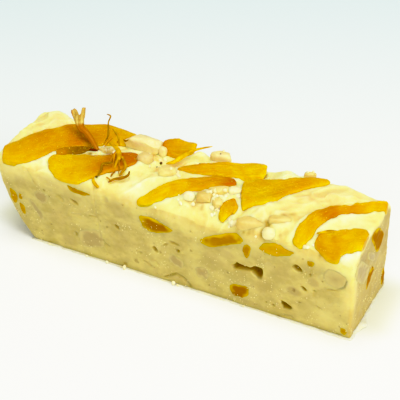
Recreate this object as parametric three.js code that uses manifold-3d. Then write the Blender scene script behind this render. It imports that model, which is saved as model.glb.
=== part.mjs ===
// A hand-cut bar of soft nougat on edible wafer paper. Strips of dried fruit, chopped nuts and
// dried petals lie on its rough top, and the cut faces show more fruit and nuts in the nougat.
//
// Millimetres. +X runs along the bar, +Y to the back, +Z up. The origin is on the resting face,
// under the middle of the bar. The front face is at y = -WIDTH / 2.
import * as THREE from "three";
import { mergeVertices } from "three/addons/utils/BufferGeometryUtils.js";
import Module from "manifold-3d";

const wasm = await Module();
wasm.setup();

// Driving dimensions.
const LENGTH = 110; // the right end is cut square, the left end leans out as it rises
const WIDTH = 27.5;
const GAP = 0.3; // clearance between a piece and the seat that it lies in
const WAFER_THICKNESS = 0.4;
const FOOT = WAFER_THICKNESS + GAP; // height of the nougat's underside
const RIGHT_END = LENGTH / 2;
const FRONT = -WIDTH / 2;

// The rough top: it drops to a low rim along the front, and is higher and lumpy towards the back.
const FRONT_RIM = 25;
const BACK_HEIGHT = 27;
const ROLL_OFF = 0.4; // share of the width over which the top rises from the front rim
const BACK_ROUNDING = { reach: 2.6, drop: 1.4 };
// x, change in height, spread along the bar
const FRONT_DIPS = [
  [-32, -0.6, 5],
  [-8, -2.9, 7],
  [14, -3.5, 12],
  [42, -1.6, 10],
];
const BACK_SWELLS = [
  [-57, 0.8, 10],
  [-10, -0.4, 8],
  [38, 1.9, 18],
];
// x, y, height, spread along the bar, spread across it
const LUMPS = [
  [-51.5, 10.5, 2.2, 4.5, 5],
  [-47, 9, 0.9, 7, 6],
  [-8, -4, 0.8, 9, 5],
  [-2, 11, 1.9, 4.2, 3.5],
  [26.5, -5.6, 1.2, 4.4, 2.8],
  [34, 0.6, 1.2, 4.4, 3],
  [43, 5.6, 1, 5, 2.8],
  [46, -1, 0.6, 6, 3],
  [53.4, -10.4, 0.8, 1.8, 1.6],
  [24.5, 11, 2, 4, 4],
  [42, 9.4, 1.5, 6, 4.5],
];

// The right end leans in a little, and the left end leans far out: it starts LEAN_FOOT from the
// middle and bulges out by LEAN_REACH.
const RIGHT_LEAN = 0.022;
const LEAN_FOOT = 46;
const LEAN_REACH = 14;
const LEAN_RISE = 14;

const BODY_SEGMENTS = { along: 28, across: 10, up: 6 };
const STRIP_STATIONS = 10;
const STRIP_SIDES = 8;
const END_FULLNESS = 0.8; // width of a strip's end, as a share of its width further in
const CHIP_SIDES = 9;
const THREAD_SIDES = 5;

// Dried fruit strips on top. path: x, y along the middle. widths, rolls (degrees, far edge up) and
// lifts (height of the middle above the nougat) are spread evenly along it. tongue: where a strip
// droops over the near edge, as a share of its length.
const STRIPS = {
  fruit_strip_back_left: {
    path: [[-55.6, -12.2], [-50.4, -9.3], [-45.5, -2.3], [-38.8, 4.1], [-31.8, 8.2], [-23.6, 10.7]],
    widths: [7, 9.4, 11.2, 9.6, 9.2, 6.2],
    rolls: [2, 4, 9, 15, 16, 10],
    thickness: 2.4,
    lifts: [0.5, 0.6, 0.8, 1.1, 1.4, 1.2],
  },
  fruit_strip_front_left: {
    path: [[-41.5, -8], [-36.8, -9], [-30.9, -8.1], [-25.1, -3.6], [-17.9, 3.2]],
    widths: [3.5, 9, 12.7, 10.8, 8.2],
    rolls: [0, 0, -2, -4, -4],
    thickness: 2,
    lifts: [0.2, 0.2, 0.2],
  },
  fruit_strip_fold: {
    path: [[-41, -6], [-37.8, -3.2], [-34.4, -1.2], [-32.2, 0.2]],
    widths: [2.4, 3.8, 3.6, 2.4],
    rolls: [6, 12, 8],
    thickness: 1.4,
    lifts: [0.5, 0.6, 0.5],
  },
  fruit_strip_standing: {
    path: [[-14.6, 9.8], [-9.8, 11], [-4, 11.8]],
    widths: [4, 6.8, 5],
    rolls: [48, 52, 46],
    thickness: 2.2,
    lifts: [1.4, 2.2, 2.2],
  },
  fruit_strip_back_middle: {
    path: [[-5.4, 2.7], [0.6, 4.4], [6.2, 7.1], [12.4, 8.2], [19, 10.1]],
    widths: [2, 4.5, 5.8, 7.6, 8.8],
    rolls: [4, 8, 10, 12, 14],
    thickness: 2.2,
    lifts: [0.4, 0.5, 0.6, 0.9, 1.8],
  },
  fruit_strip_middle: {
    path: [[-9.9, -12.7], [-5.6, -10.3], [-1.4, -7.1], [3.4, -3.3], [7.8, 0.9], [13.2, 2.5]],
    widths: [1.6, 3.7, 4.9, 5.2, 5.8, 3.4],
    rolls: [4, 10, 12, 10, 6, 4],
    thickness: 2,
    lifts: [0.4, 0.4],
  },
  fruit_strip_right_middle: {
    path: [[16.7, -1.8], [21.8, 0.4], [27.5, 5.2], [31.8, 9.4], [37, 12.2]],
    widths: [14.2, 13.6, 6, 4.6, 4],
    rolls: [0, 2, 6, 10, 8],
    thickness: 2.2,
    lifts: [0.5, 0.5],
  },
  fruit_strip_scrap: {
    path: [[17.9, -6.4], [16, -7.9], [15.5, -9.7], [15.6, -11.4]],
    widths: [5.2, 4.8, 3, 1.8],
    rolls: [0, 4, 0],
    thickness: 1.6,
    lifts: [0.5, 0.5],
  },
  fruit_strip_right_back: {
    path: [[38, -13.3], [38.8, -9.6], [40.5, -5.6], [43.2, -2.2], [47, 1.7], [50.9, 6.5], [54.7, 9.7]],
    widths: [3.6, 4.8, 4.9, 4, 3.4, 3.3, 4.4],
    rolls: [0, 6, 14, 30, 52, 60, 60],
    thickness: 1.8,
    lifts: [0.6, 0.5, 0.4, 0.5, 0.5, 0.6, 0.5],
  },
  fruit_strip_right_front: {
    path: [[42.4, -9.9], [46.3, -10.8], [50.2, -8.9], [55.2, -6]],
    widths: [3.6, 6.2, 7, 7.6],
    rolls: [4, 4, 2, 0],
    thickness: 1.9,
    lifts: [0.4, 0.4],
    tongue: { at: 0.42, reach: 1.5, spread: 0.07 },
  },
};

// Chopped nuts on top. at: x, y; size: length, width, height; turn: degrees about +Z; lift: height
// of the middle above the nougat; blocky: 1 is an egg, lower values are squarer.
const TOP_NUTS = {
  nut_top_chunk: { at: [-19.8, 8.5], size: [11.6, 5, 4.8], turn: 4, lift: 1.9, blocky: 0.5 },
  nut_top_round: { at: [-15.7, 2.4], size: [4.8, 4.6, 3.8], turn: 0, lift: 1, blocky: 0.9 },
  nut_top_back: { at: [4, 12], size: [6.6, 3.4, 3.2], turn: 12, lift: 1.6, blocky: 0.6 },
  nut_top_inner: { at: [-28.2, 1.4], size: [4.2, 2.2, 2], turn: 24, lift: 0.8, blocky: 0.6 },
  nut_top_sunk: { at: [-6.4, -1.4], size: [5.4, 4.8, 3.8], turn: 20, lift: 0.6, blocky: 0.8 },
  nut_top_bead: { at: [4.2, -8.1], size: [3.5, 3, 2.8], turn: 0, lift: 0.8, blocky: 0.95 },
  nut_top_heap_left: { at: [8.4, -7], size: [5, 3.6, 3], turn: 15, lift: 0.9, blocky: 0.6 },
  nut_top_heap_back: { at: [11.2, -3.2], size: [6.8, 2.8, 2.4], turn: 26, lift: 0.7, blocky: 0.6 },
  nut_top_heap_front: { at: [12.5, -7.4], size: [3, 3.2, 2.6], turn: 40, lift: 0.5, blocky: 0.7 },
  nut_top_half: { at: [24.2, -10.3], size: [8.6, 4.4, 3.6], turn: 18, lift: -0.2, blocky: 0.55 },
  nut_top_pea: { at: [29.8, -12.2], size: [3.8, 3.2, 3.2], turn: 0, lift: 0.1, blocky: 0.95 },
  nut_top_crumb: { at: [31.2, 12], size: [3.4, 2, 2.4], turn: 20, lift: 1.5, blocky: 0.6 },
  nut_top_block: { at: [14.8, -2], size: [3.4, 2.6, 2.4], turn: 35, lift: 0.8, blocky: 0.6 },
  nut_top_slab: { at: [31.2, -8.3], size: [6.4, 3, 2.6], turn: 22, lift: 0, blocky: 0.55 },
  nut_top_nub: { at: [-13.2, 8.2], size: [2.6, 2.4, 3.4], turn: 0, lift: 1.3, blocky: 0.7 },
};

// Fruit in the front face: corners as x, z.
const FRONT_FRUIT = {
  fruit_front_wedge: [[-9, 19.7], [-3.2, 20.1], [2.2, 18.4], [1.4, 17.6], [-6.3, 15.8]],
  fruit_front_long: [[9.8, 17.6], [14.9, 20.8], [22.6, 23], [23, 21.2], [18.8, 18.9], [12.8, 16.4]],
  fruit_front_small: [[23, 20], [24.2, 21.2], [25.4, 20.6], [25.2, 18.4], [24.2, 16.2], [23.3, 17.8]],
  fruit_front_leaf: [
    [27.7, 20.8],
    [28.7, 22.6],
    [31.2, 23.6],
    [34.2, 24.1],
    [36.4, 23.8],
    [37.8, 22.9],
    [37, 21.7],
    [34.3, 20.3],
    [30.6, 19.8],
  ],
  fruit_front_bit: [[41.4, 21.6], [43.4, 21.4], [43, 19.9], [41.6, 20.1]],
  fruit_front_cube: [[19.7, 6.1], [22.4, 6.9], [24.9, 7.2], [25.2, 4.2], [22.7, 2.8], [20, 3.2]],
  fruit_front_corner: [[52, 3.4], [53.9, 2.6], [53.2, 1.2], [51.9, 1.7]],
  fruit_front_rim: [[-32.2, 23.2], [-29.8, 22.9], [-24.4, 22.2], [-27, 21.1], [-31.8, 21.9]],
  fruit_front_far_left: [[-53.2, 16.3], [-51, 15.4], [-50.8, 12], [-51.8, 11.6], [-52.9, 13.6]],
  fruit_front_sliver: [[-49.7, 15.8], [-48.7, 14.8], [-49.1, 13.3], [-49.9, 13.5]],
  fruit_front_low_left: [[-50, 12.2], [-48.2, 11.3], [-48.4, 8.2], [-49.6, 9.2]],
};

// Fruit in the right end: corners as y, z.
const END_FRUIT = {
  fruit_end_large: [[-1.9, 25.7], [2.4, 26], [6.8, 22.8], [8.8, 19.7], [6.4, 18], [3.4, 17.6], [1.4, 20]],
  fruit_end_thin: [[-2.6, 13.6], [-0.2, 15.2], [2.1, 13.2], [0.4, 12.2], [-1.7, 11.1], [-3.5, 10]],
  fruit_end_edge: [[10.6, 7.2], [12.5, 6.6], [12.7, 2], [10.4, 2.2]],
};

// Nuts in the front face: centre x, z, length, height, and tilt in degrees.
const FRONT_NUTS = {
  nut_front_corner: [49.3, 18.2, 6.6, 6.6, -20],
  nut_front_dark: [-41.9, 16.4, 5, 4.6, -30],
  nut_front_slit: [-43.9, 11.4, 7.4, 2.4, -50],
  nut_front_large: [-25.2, 6.9, 9.4, 7.6, 18],
  nut_front_middle: [3, 8.3, 5, 3.8, -24],
  nut_front_low: [10.8, 7.1, 4.2, 4.6, 10],
};

// Nuts in the right end: centre y, z, length, height, and tilt in degrees.
const END_NUTS = {
  nut_end_large: [-7.8, 18.2, 12.6, 6.6, -42],
  nut_end_narrow: [-0.9, 19, 7.6, 2.6, -40],
};

const CHIP_DEPTH = 5;

// Holes that gas left in the front face: centre x, z, length, height, tilt in degrees, depth.
const FRONT_HOLES = [
  [24.2, 12.9, 9.4, 2.7, 4, 3.6],
  [38.6, 17.9, 3.2, 1.8, -20, 2],
  [36.3, 4.7, 3.6, 2.2, -24, 2.4],
];

// Dried petals and threads. path: x, y, height above the nougat; radii: across the piece at the
// two ends; flat: thickness as a share of the width.
const FLORETS = {
  petal_curled_yellow: {
    path: [
      [-26.2, 0, 5],
      [-24.4, -0.2, 4.4],
      [-22.5, -1, 3.8],
      [-21.4, -2.6, 2.6],
      [-21.2, -4.6, 1.8],
      [-20.8, -6, 1.1],
    ],
    radii: [0.85, 0.55],
    flat: 0.4,
  },
  petal_curled_second: {
    path: [[-20.8, -2.4, 3], [-18.9, -3.7, 2.2], [-17.9, -5, 1.6], [-18, -6.7, 1.1], [-18.1, -8.2, 0.8]],
    radii: [0.5, 0.55],
    flat: 0.5,
  },
  thread_hooked: {
    path: [
      [-29.9, 5.2, 10.7],
      [-28.7, 5.3, 10.3],
      [-28.7, 4.1, 8.9],
      [-28.1, 2.9, 7],
      [-27.7, 1.9, 5.6],
      [-28.5, 0.9, 3.6],
    ],
    radii: [0.32, 0.36],
    flat: 1,
  },
  thread_branch: {
    path: [[-27.7, 4.4, 6.8], [-26.5, 4.2, 5.8], [-25.3, 3.6, 5], [-24, 1.9, 3.2]],
    radii: [0.28, 0.42],
    flat: 1,
  },
  thread_lying: {
    path: [
      [-16.1, -5.8, 1.3],
      [-15.8, -7.1, 1],
      [-16.8, -8.5, 0.9],
      [-18.7, -9.7, 0.8],
      [-19.9, -11.3, 0.7],
    ],
    radii: [0.42, 0.62],
    flat: 0.8,
  },
  thread_dark: {
    path: [
      [-21.8, -5.3, 2.2],
      [-23.7, -6.2, 2.1],
      [-24.4, -7, 1.9],
      [-23.7, -8.5, 1.6],
      [-23.8, -10.5, 1],
    ],
    radii: [0.34, 0.42],
    flat: 1,
  },
  petal_rim: {
    path: [[-24.7, -11.4, 0.9], [-24.1, -12.4, 0.8], [-22.7, -13.2, 0.5], [-21.6, -13.6, 0.4]],
    radii: [0.6, 0.6],
    flat: 0.5,
  },
  petal_club: {
    path: [
      [-9.4, 3.2, 0.9],
      [-7.6, 5.4, 1.2],
      [-6, 7.8, 1.9],
      [-3.6, 9, 2.6],
      [-0.8, 9.4, 3.6],
      [2.3, 9.6, 5.6],
    ],
    radii: [0.95, 0.42],
    flat: 0.4,
  },
  petal_fold: {
    path: [[41.8, -9.6, 1], [45.6, -8, 1.2], [48.6, -7.2, 1]],
    radii: [0.6, 0.35],
    flat: 0.5,
  },
  petal_red: {
    path: [[-31.9, -2, 1.9], [-30.8, -1.5, 1.9], [-29.6, -1, 1.7]],
    radii: [0.5, 0.4],
    flat: 0.7,
  },
};

// The upright floret: a tube of fused petals that opens into a ragged mouth.
const TRUMPET = {
  path: [
    [-30.6, 0.2, 0.9],
    [-32.1, 1.2, 1.8],
    [-34, 2.2, 3],
    [-36, 2.9, 4.2],
    [-37.6, 2.8, 5.4],
    [-38.5, 3.6, 6.9],
    [-38.9, 4.1, 9.2],
  ],
  radii: [0.6, 0.7, 0.8, 0.85, 1, 1.3, 1.75],
  lobes: 4,
  lobeHeight: 1.2,
  wall: 0.45,
  mouthDepth: 3,
  stations: 8,
  sides: 10,
};

const WAFER = {
  overhang: 0.25,
  raggedness: 0.35,
  flap: { y: -6.5, reach: 1.6, spread: 2.6 },
  curlReach: 3, // how far out the sheet's underside would rise by curlRise, from the nougat's foot
  curlRise: 0.35,
  pointsAlong: 30,
  pointsAcross: 8,
};

const COLOURS = {
  nougat: 0xf3e9b4,
  fruit: 0xe9ae12,
  nut: 0xe8d6ae,
  petal: 0xd98b12,
  wafer: 0xf3efdc,
};
const ROUGHNESS = { nougat: 0.6, fruit: 0.35, nut: 0.55, petal: 0.7, wafer: 0.8 };

// ---------------------------------------------------------------- helpers

const radians = THREE.MathUtils.degToRad;

// A repeatable stream of numbers in 0..1.
function randomStream(seed) {
  let state = seed >>> 0;
  return () => {
    state = (Math.imul(state, 1664525) + 1013904223) >>> 0;
    return state / 4294967296;
  };
}

function bell(distance, spread) {
  return Math.exp(-((distance / spread) ** 2));
}

function swellSum(swells, x) {
  return swells.reduce((sum, [at, change, spread]) => sum + change * bell(x - at, spread), 0);
}

// Height of the nougat's top over the point x, y.
function topHeight(x, y) {
  const across = THREE.MathUtils.clamp((y - FRONT) / WIDTH, 0, 1);
  const rise = across < ROLL_OFF ? 1 - (1 - across / ROLL_OFF) ** 2 : 1;
  const front = FRONT_RIM + swellSum(FRONT_DIPS, x);
  const back = BACK_HEIGHT + swellSum(BACK_SWELLS, x);
  const past = Math.max(0, y - (WIDTH / 2 - BACK_ROUNDING.reach)) / BACK_ROUNDING.reach;
  const lumps = LUMPS.reduce(
    (sum, [lx, ly, height, sx, sy]) => sum + height * bell(x - lx, sx) * bell(y - ly, sy),
    0,
  );
  return front + (back - front) * rise + lumps - BACK_ROUNDING.drop * Math.min(past, 1.5) ** 2;
}

// Where the leaning left end is at height z.
function leftEnd(z) {
  return -LEAN_FOOT - LEAN_REACH * (1 - Math.exp(-z / LEAN_RISE));
}

// Value at t (0..1) of a list whose entries are evenly spread.
function valueAt(list, t) {
  const at = t * (list.length - 1);
  const i = Math.min(Math.floor(at), list.length - 2);
  return THREE.MathUtils.lerp(list[i], list[i + 1], at - i);
}

function curveThrough(points) {
  return new THREE.CatmullRomCurve3(points.map(([x, y, z = 0]) => new THREE.Vector3(x, y, z)));
}

function solidFrom(geometry) {
  const bare = new THREE.BufferGeometry();
  bare.setAttribute("position", geometry.getAttribute("position"));
  if (geometry.index) bare.setIndex(geometry.index);
  const merged = mergeVertices(bare, 1e-4);
  return new wasm.Manifold(
    new wasm.Mesh({
      numProp: 3,
      vertProperties: new Float32Array(merged.attributes.position.array),
      triVerts: new Uint32Array(merged.index.array),
    }),
  );
}

function geometryFrom(solid) {
  const mesh = solid.getMesh();
  return new THREE.BufferGeometry()
    .setAttribute("position", new THREE.BufferAttribute(new Float32Array(mesh.vertProperties), 3))
    .setIndex(new THREE.BufferAttribute(new Uint32Array(mesh.triVerts), 1));
}

// The largest single body of a solid that a cut may have left in pieces.
function largestBody(solid) {
  return solid.decompose().reduce((best, body) => (body.volume() > best.volume() ? body : best));
}

// A closed surface through rings of equal length, with a flat fan at each end. Rings turn
// anticlockwise seen against the direction in which they follow each other.
function ringSolid(rings) {
  const sides = rings[0].length;
  const points = rings.flat();
  const faces = [];
  for (let r = 0; r + 1 < rings.length; r++) {
    for (let s = 0; s < sides; s++) {
      const a = r * sides + s;
      const b = r * sides + ((s + 1) % sides);
      faces.push(a, b, b + sides, a, b + sides, a + sides);
    }
  }
  [rings[0], rings[rings.length - 1]].forEach((ring, end) => {
    const first = end ? (rings.length - 1) * sides : 0;
    const centre = points.length;
    points.push(ring.reduce((sum, p) => sum.add(p), new THREE.Vector3()).divideScalar(sides));
    for (let s = 0; s < sides; s++) {
      const a = first + s;
      const b = first + ((s + 1) % sides);
      faces.push(...(end ? [a, b, centre] : [b, a, centre]));
    }
  });
  const geometry = new THREE.BufferGeometry();
  const numbers = points.flatMap((p) => [p.x, p.y, p.z]);
  geometry.setAttribute("position", new THREE.Float32BufferAttribute(numbers, 3));
  geometry.setIndex(faces);
  const solid = solidFrom(geometry);
  if (solid.volume() >= 0) return solid;
  for (let i = 0; i < faces.length; i += 3) [faces[i + 1], faces[i + 2]] = [faces[i + 2], faces[i + 1]];
  geometry.setIndex(faces);
  return solidFrom(geometry);
}

// ---------------------------------------------------------------- pieces

function nougatBlock() {
  const { along, across, up } = BODY_SEGMENTS;
  const box = new THREE.BoxGeometry(1, 1, 1, along, across, up);
  box.deleteAttribute("normal");
  box.deleteAttribute("uv");
  const place = box.getAttribute("position");
  for (let i = 0; i < place.count; i++) {
    const u = place.getX(i) + 0.5;
    const v = place.getY(i) + 0.5;
    const w = place.getZ(i) + 0.5;
    const y = FRONT + WIDTH * v + 0.15 * Math.sin(9 * u + 2) * Math.sin(5 * w);
    const straightX = THREE.MathUtils.lerp(leftEnd(BACK_HEIGHT), RIGHT_END, u);
    const z = FOOT + w * (topHeight(straightX, y) - FOOT);
    place.setXYZ(i, THREE.MathUtils.lerp(leftEnd(z), RIGHT_END - RIGHT_LEAN * z, u), y, z);
  }
  return solidFrom(box);
}

// A strip that drapes over the nougat. grow makes it larger all round, to cut its seat.
function fruitStrip({ path, widths, rolls, thickness, lifts, tongue }, grow = 0) {
  const curve = curveThrough(path);
  const rings = [];
  const up = new THREE.Vector3(0, 0, 1);
  for (let i = 0; i <= STRIP_STATIONS; i++) {
    const t = i / STRIP_STATIONS;
    const middle = curve.getPoint(t);
    const along = curve.getTangent(t).normalize();
    const side = new THREE.Vector3().crossVectors(up, along);
    if (i === 0) middle.addScaledVector(along, -grow);
    if (i === STRIP_STATIONS) middle.addScaledVector(along, grow);
    const roll = radians(valueAt(rolls, t));
    const endShape = END_FULLNESS + (1 - END_FULLNESS) * Math.sqrt(Math.min(1, 8 * Math.min(t, 1 - t)));
    const droop = tongue ? tongue.reach * Math.exp(-(((t - tongue.at) / tongue.spread) ** 2)) : 0;
    const halfWidth = (valueAt(widths, t) / 2) * endShape + grow;
    const halfThick = (thickness / 2) * endShape + grow;
    const ring = [];
    for (let s = 0; s < STRIP_SIDES; s++) {
      const angle = (2 * Math.PI * (s + 0.5)) / STRIP_SIDES;
      const near = Math.max(0, -Math.cos(angle)) ** 2;
      const across = halfWidth * Math.sign(Math.cos(angle)) * Math.abs(Math.cos(angle)) ** 0.7 - droop * near;
      const rise = halfThick * Math.sign(Math.sin(angle)) * Math.abs(Math.sin(angle)) ** 0.7;
      const reach = across * Math.cos(roll) - rise * Math.sin(roll);
      const foot = middle.clone().addScaledVector(side, across * Math.cos(roll));
      const lift = valueAt(lifts, t) + across * Math.sin(roll) + rise * Math.cos(roll) - 0.5 * droop * near;
      const point = middle.clone().addScaledVector(side, reach);
      point.z = topHeight(foot.x, foot.y) + lift;
      ring.push(point);
    }
    rings.push(ring);
  }
  return ringSolid(rings);
}

// A chopped nut: an egg or a rounded block with an uneven surface.
function topNut({ at, size, turn, lift, blocky }, seed, grow = 0) {
  const ball = mergeVertices(bareGeometry(new THREE.IcosahedronGeometry(1, 1)), 1e-4);
  const random = randomStream(seed);
  const place = ball.getAttribute("position");
  const half = size.map((s) => s / 2);
  const rotation = new THREE.Euler(0, 0, radians(turn));
  for (let i = 0; i < place.count; i++) {
    const unit = new THREE.Vector3().fromBufferAttribute(place, i);
    const uneven = 0.93 + 0.14 * random();
    const squared = [unit.x, unit.y, unit.z].map((c) => Math.sign(c) * Math.abs(c) ** blocky);
    const point = new THREE.Vector3(
      squared[0] * (half[0] * uneven + grow),
      squared[1] * (half[1] * uneven + grow),
      squared[2] * (half[2] * uneven + grow),
    ).applyEuler(rotation);
    place.setXYZ(i, point.x + at[0], point.y + at[1], point.z + topHeight(at[0], at[1]) + lift);
  }
  return solidFrom(ball);
}

function bareGeometry(geometry) {
  geometry.deleteAttribute("normal");
  geometry.deleteAttribute("uv");
  return geometry;
}

// Outline of a nut in a cut face, in the face's own two directions.
function ovalOutline([centreX, centreZ, length, height, tilt]) {
  const cos = Math.cos(radians(tilt));
  const sin = Math.sin(radians(tilt));
  return Array.from({ length: CHIP_SIDES }, (_, i) => {
    const angle = (2 * Math.PI * i) / CHIP_SIDES;
    const a = (length / 2) * Math.cos(angle);
    const b = (height / 2) * Math.sin(angle) * (1 + 0.18 * Math.cos(2 * angle));
    return [centreX + a * cos - b * sin, centreZ + a * sin + b * cos];
  });
}

// Outline of a piece of fruit in a cut face, rounded through its corners.
function roundedOutline(corners) {
  const closed = new THREE.CatmullRomCurve3(
    corners.map(([a, b]) => new THREE.Vector3(a, b, 0)),
    true,
    "centripetal",
  );
  return Array.from({ length: CHIP_SIDES }, (_, i) => closed.getPoint(i / CHIP_SIDES)).map((p) => [p.x, p.y]);
}

// A piece that lies in a cut face: flush with it, and narrowing into the nougat.
// toSpace turns the face's own coordinates and a depth into a point.
function embeddedChip(outline, depth, toSpace, grow = 0) {
  const middle = outline.reduce(([a, b], [x, z]) => [a + x / outline.length, b + z / outline.length], [0, 0]);
  const ringAt = (scale, inward) =>
    outline.map(([a, b]) => {
      const out = new THREE.Vector2(a - middle[0], b - middle[1]);
      out.setLength(out.length() * scale + grow);
      return toSpace(middle[0] + out.x, middle[1] + out.y, inward);
    });
  return ringSolid([
    ringAt(1, grow ? -2 : 0),
    ringAt(1, 0.3 * depth),
    ringAt(0.55, depth + grow),
  ]);
}

const inFrontFace = (x, z, depth) => new THREE.Vector3(x, FRONT + 0.02 + depth, z);
const inRightEnd = (y, z, depth) => new THREE.Vector3(RIGHT_END - RIGHT_LEAN * z - 0.02 - depth, y, z);

// A petal or thread: a thin tube, round or flattened, along a path above the nougat.
function floret({ path, radii, flat }, grow = 0) {
  const curve = curveThrough(path.map(([x, y, above]) => [x, y, topHeight(x, y) + above]));
  const steps = 3 * (path.length - 1) + 1;
  const rings = [];
  for (let i = 0; i <= steps; i++) {
    const t = i / steps;
    const middle = curve.getPoint(t);
    const along = curve.getTangent(t).normalize();
    if (i === 0) middle.addScaledVector(along, -grow);
    if (i === steps) middle.addScaledVector(along, grow);
    const side = new THREE.Vector3(-along.y, along.x, 0.2).cross(along).normalize();
    const other = new THREE.Vector3().crossVectors(along, side);
    const radius = valueAt(radii, t) * (0.7 + 0.3 * Math.sin(Math.PI * t)) + grow;
    rings.push(
      Array.from({ length: THREAD_SIDES }, (_, s) => {
        const angle = (2 * Math.PI * s) / THREAD_SIDES;
        return middle
          .clone()
          .addScaledVector(other, radius * Math.cos(angle))
          .addScaledVector(side, radius * (grow ? 1 : flat) * Math.sin(angle));
      }),
    );
  }
  return ringSolid(rings);
}

// The upright floret: out along the tube, round the lobed rim, and back down inside the mouth.
function trumpet({ path, radii, lobes, lobeHeight, wall, mouthDepth, stations, sides }, grow = 0) {
  const curve = curveThrough(path.map(([x, y, above]) => [x, y, topHeight(x, y) + above]));
  const ringAt = (t, inset, rimShare) => {
    const middle = curve.getPoint(t);
    const along = curve.getTangent(t).normalize();
    const side = new THREE.Vector3(0, 1, 0).cross(along).normalize();
    const other = new THREE.Vector3().crossVectors(along, side);
    const radius = Math.max(valueAt(radii, t) - inset + grow, 0.15);
    return Array.from({ length: sides }, (_, s) => {
      const angle = (2 * Math.PI * s) / sides;
      const lobe = rimShare * lobeHeight * Math.cos(lobes * angle);
      return middle
        .clone()
        .addScaledVector(side, radius * Math.cos(angle))
        .addScaledVector(other, radius * Math.sin(angle))
        .addScaledVector(along, lobe);
    });
  };
  const rings = Array.from({ length: stations + 1 }, (_, i) =>
    ringAt(i / stations, 0, i === stations ? 1 : 0),
  );
  if (!grow) {
    const inner = 1 - mouthDepth / curve.getLength();
    rings.push(ringAt(1, wall, 0.7), ringAt((1 + inner) / 2, wall, 0), ringAt(inner, wall, 0));
  }
  return ringSolid(rings);
}

// The wafer paper: a thin sheet with a ragged edge and a small loose flap at the right end. It
// rests flat under the nougat, and its edge curls up a little.
function waferSheet() {
  const { overhang, raggedness, flap, curlReach, curlRise, pointsAlong, pointsAcross } = WAFER;
  const random = randomStream(7);
  const ragged = () => overhang + raggedness * (random() - 0.5);
  const leftFoot = leftEnd(FOOT);
  const sheet = new THREE.Shape();
  const corners = [
    new THREE.Vector2(leftFoot, FRONT),
    new THREE.Vector2(RIGHT_END, FRONT),
    new THREE.Vector2(RIGHT_END, -FRONT),
    new THREE.Vector2(leftFoot, -FRONT),
  ];
  const outline = corners.flatMap((from, side) => {
    const to = corners[(side + 1) % corners.length];
    const outward = new THREE.Vector2(to.y - from.y, from.x - to.x).normalize();
    const points = side % 2 ? pointsAcross : pointsAlong;
    return Array.from({ length: points }, (_, i) => {
      const point = from.clone().lerp(to, i / points);
      const loose = outward.x > 0.5 ? flap.reach * bell(point.y - flap.y, flap.spread) : 0;
      return point.addScaledVector(outward, ragged() + loose);
    });
  });
  sheet.setFromPoints(outline);
  const slab = new THREE.ExtrudeGeometry(sheet, { depth: WAFER_THICKNESS, bevelEnabled: false });
  const curl = [
    [0, 0],
    [curlReach, curlRise],
    [curlReach, WAFER_THICKNESS + 1],
  ].flatMap(([reach, z]) =>
    corners.map(({ x, y }) => [x + Math.sign(x) * reach, y + Math.sign(y) * reach, z]),
  );
  return solidFrom(bareGeometry(slab)).intersect(wasm.Manifold.hull(curl));
}

// ---------------------------------------------------------------- the bar

// Each loose piece as its own solid, and the larger form that cuts its seat.
function loosePieces() {
  const pieces = [];
  const add = (name, kind, make) => pieces.push({ name, kind, solid: make(0), seat: make(GAP) });
  Object.entries(STRIPS).forEach(([name, strip]) => add(name, "fruit", (grow) => fruitStrip(strip, grow)));
  Object.entries(TOP_NUTS).forEach(([name, nut], i) => add(name, "nut", (grow) => topNut(nut, 11 + i, grow)));
  const embed = (shapes, kind, outlineOf, toSpace) =>
    Object.entries(shapes).forEach(([name, shape]) =>
      add(name, kind, (grow) => embeddedChip(outlineOf(shape), CHIP_DEPTH, toSpace, grow)),
    );
  embed(FRONT_FRUIT, "fruit", roundedOutline, inFrontFace);
  embed(END_FRUIT, "fruit", roundedOutline, inRightEnd);
  embed(FRONT_NUTS, "nut", ovalOutline, inFrontFace);
  embed(END_NUTS, "nut", ovalOutline, inRightEnd);
  add("petal_trumpet", "petal", (grow) => trumpet(TRUMPET, grow));
  Object.entries(FLORETS).forEach(([name, petal]) => add(name, "petal", (grow) => floret(petal, grow)));
  return pieces;
}

// Gives way to earlier pieces, so that no two touch.
function settle(pieces) {
  pieces.forEach((piece, i) => {
    pieces.slice(0, i).forEach((earlier) => {
      if (piece.solid.intersect(earlier.seat).volume() > 0) {
        piece.solid = largestBody(piece.solid.subtract(earlier.seat));
      }
    });
  });
  return pieces;
}

function cutNougat(pieces) {
  let nougat = nougatBlock();
  pieces.forEach(({ seat }) => {
    nougat = nougat.subtract(seat);
  });
  FRONT_HOLES.forEach((hole) => {
    const depth = hole[5];
    nougat = nougat.subtract(embeddedChip(ovalOutline(hole), depth, inFrontFace, 0.01));
  });
  return largestBody(nougat);
}

function namedMesh(name, kind, solid) {
  const material = new THREE.MeshStandardMaterial({
    color: COLOURS[kind],
    roughness: ROUGHNESS[kind],
    metalness: 0,
  });
  const mesh = new THREE.Mesh(geometryFrom(solid), material);
  mesh.name = name;
  return mesh;
}

const pieces = settle(loosePieces());
const bar = new THREE.Group();
bar.name = "nougat_bar";
bar.add(namedMesh("nougat", "nougat", cutNougat(pieces)));
bar.add(namedMesh("wafer_paper", "wafer", waferSheet()));
pieces.forEach(({ name, kind, solid }) => bar.add(namedMesh(name, kind, solid)));

export default bar;
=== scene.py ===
"""Looks of a hand-cut nougat bar: soft nougat on wafer paper, strips of dried fruit, nuts and dried petals.

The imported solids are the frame. Every piece here stands where its solid stands and rides on the one body.
Sizes are millimetres unless a name says otherwise, +X runs along the bar, +Y to the back and +Z up.
"""

from __future__ import annotations

import logging
import math
from dataclasses import dataclass, field
from enum import Enum
from itertools import product
from typing import Callable, Iterable, Sequence

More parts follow.
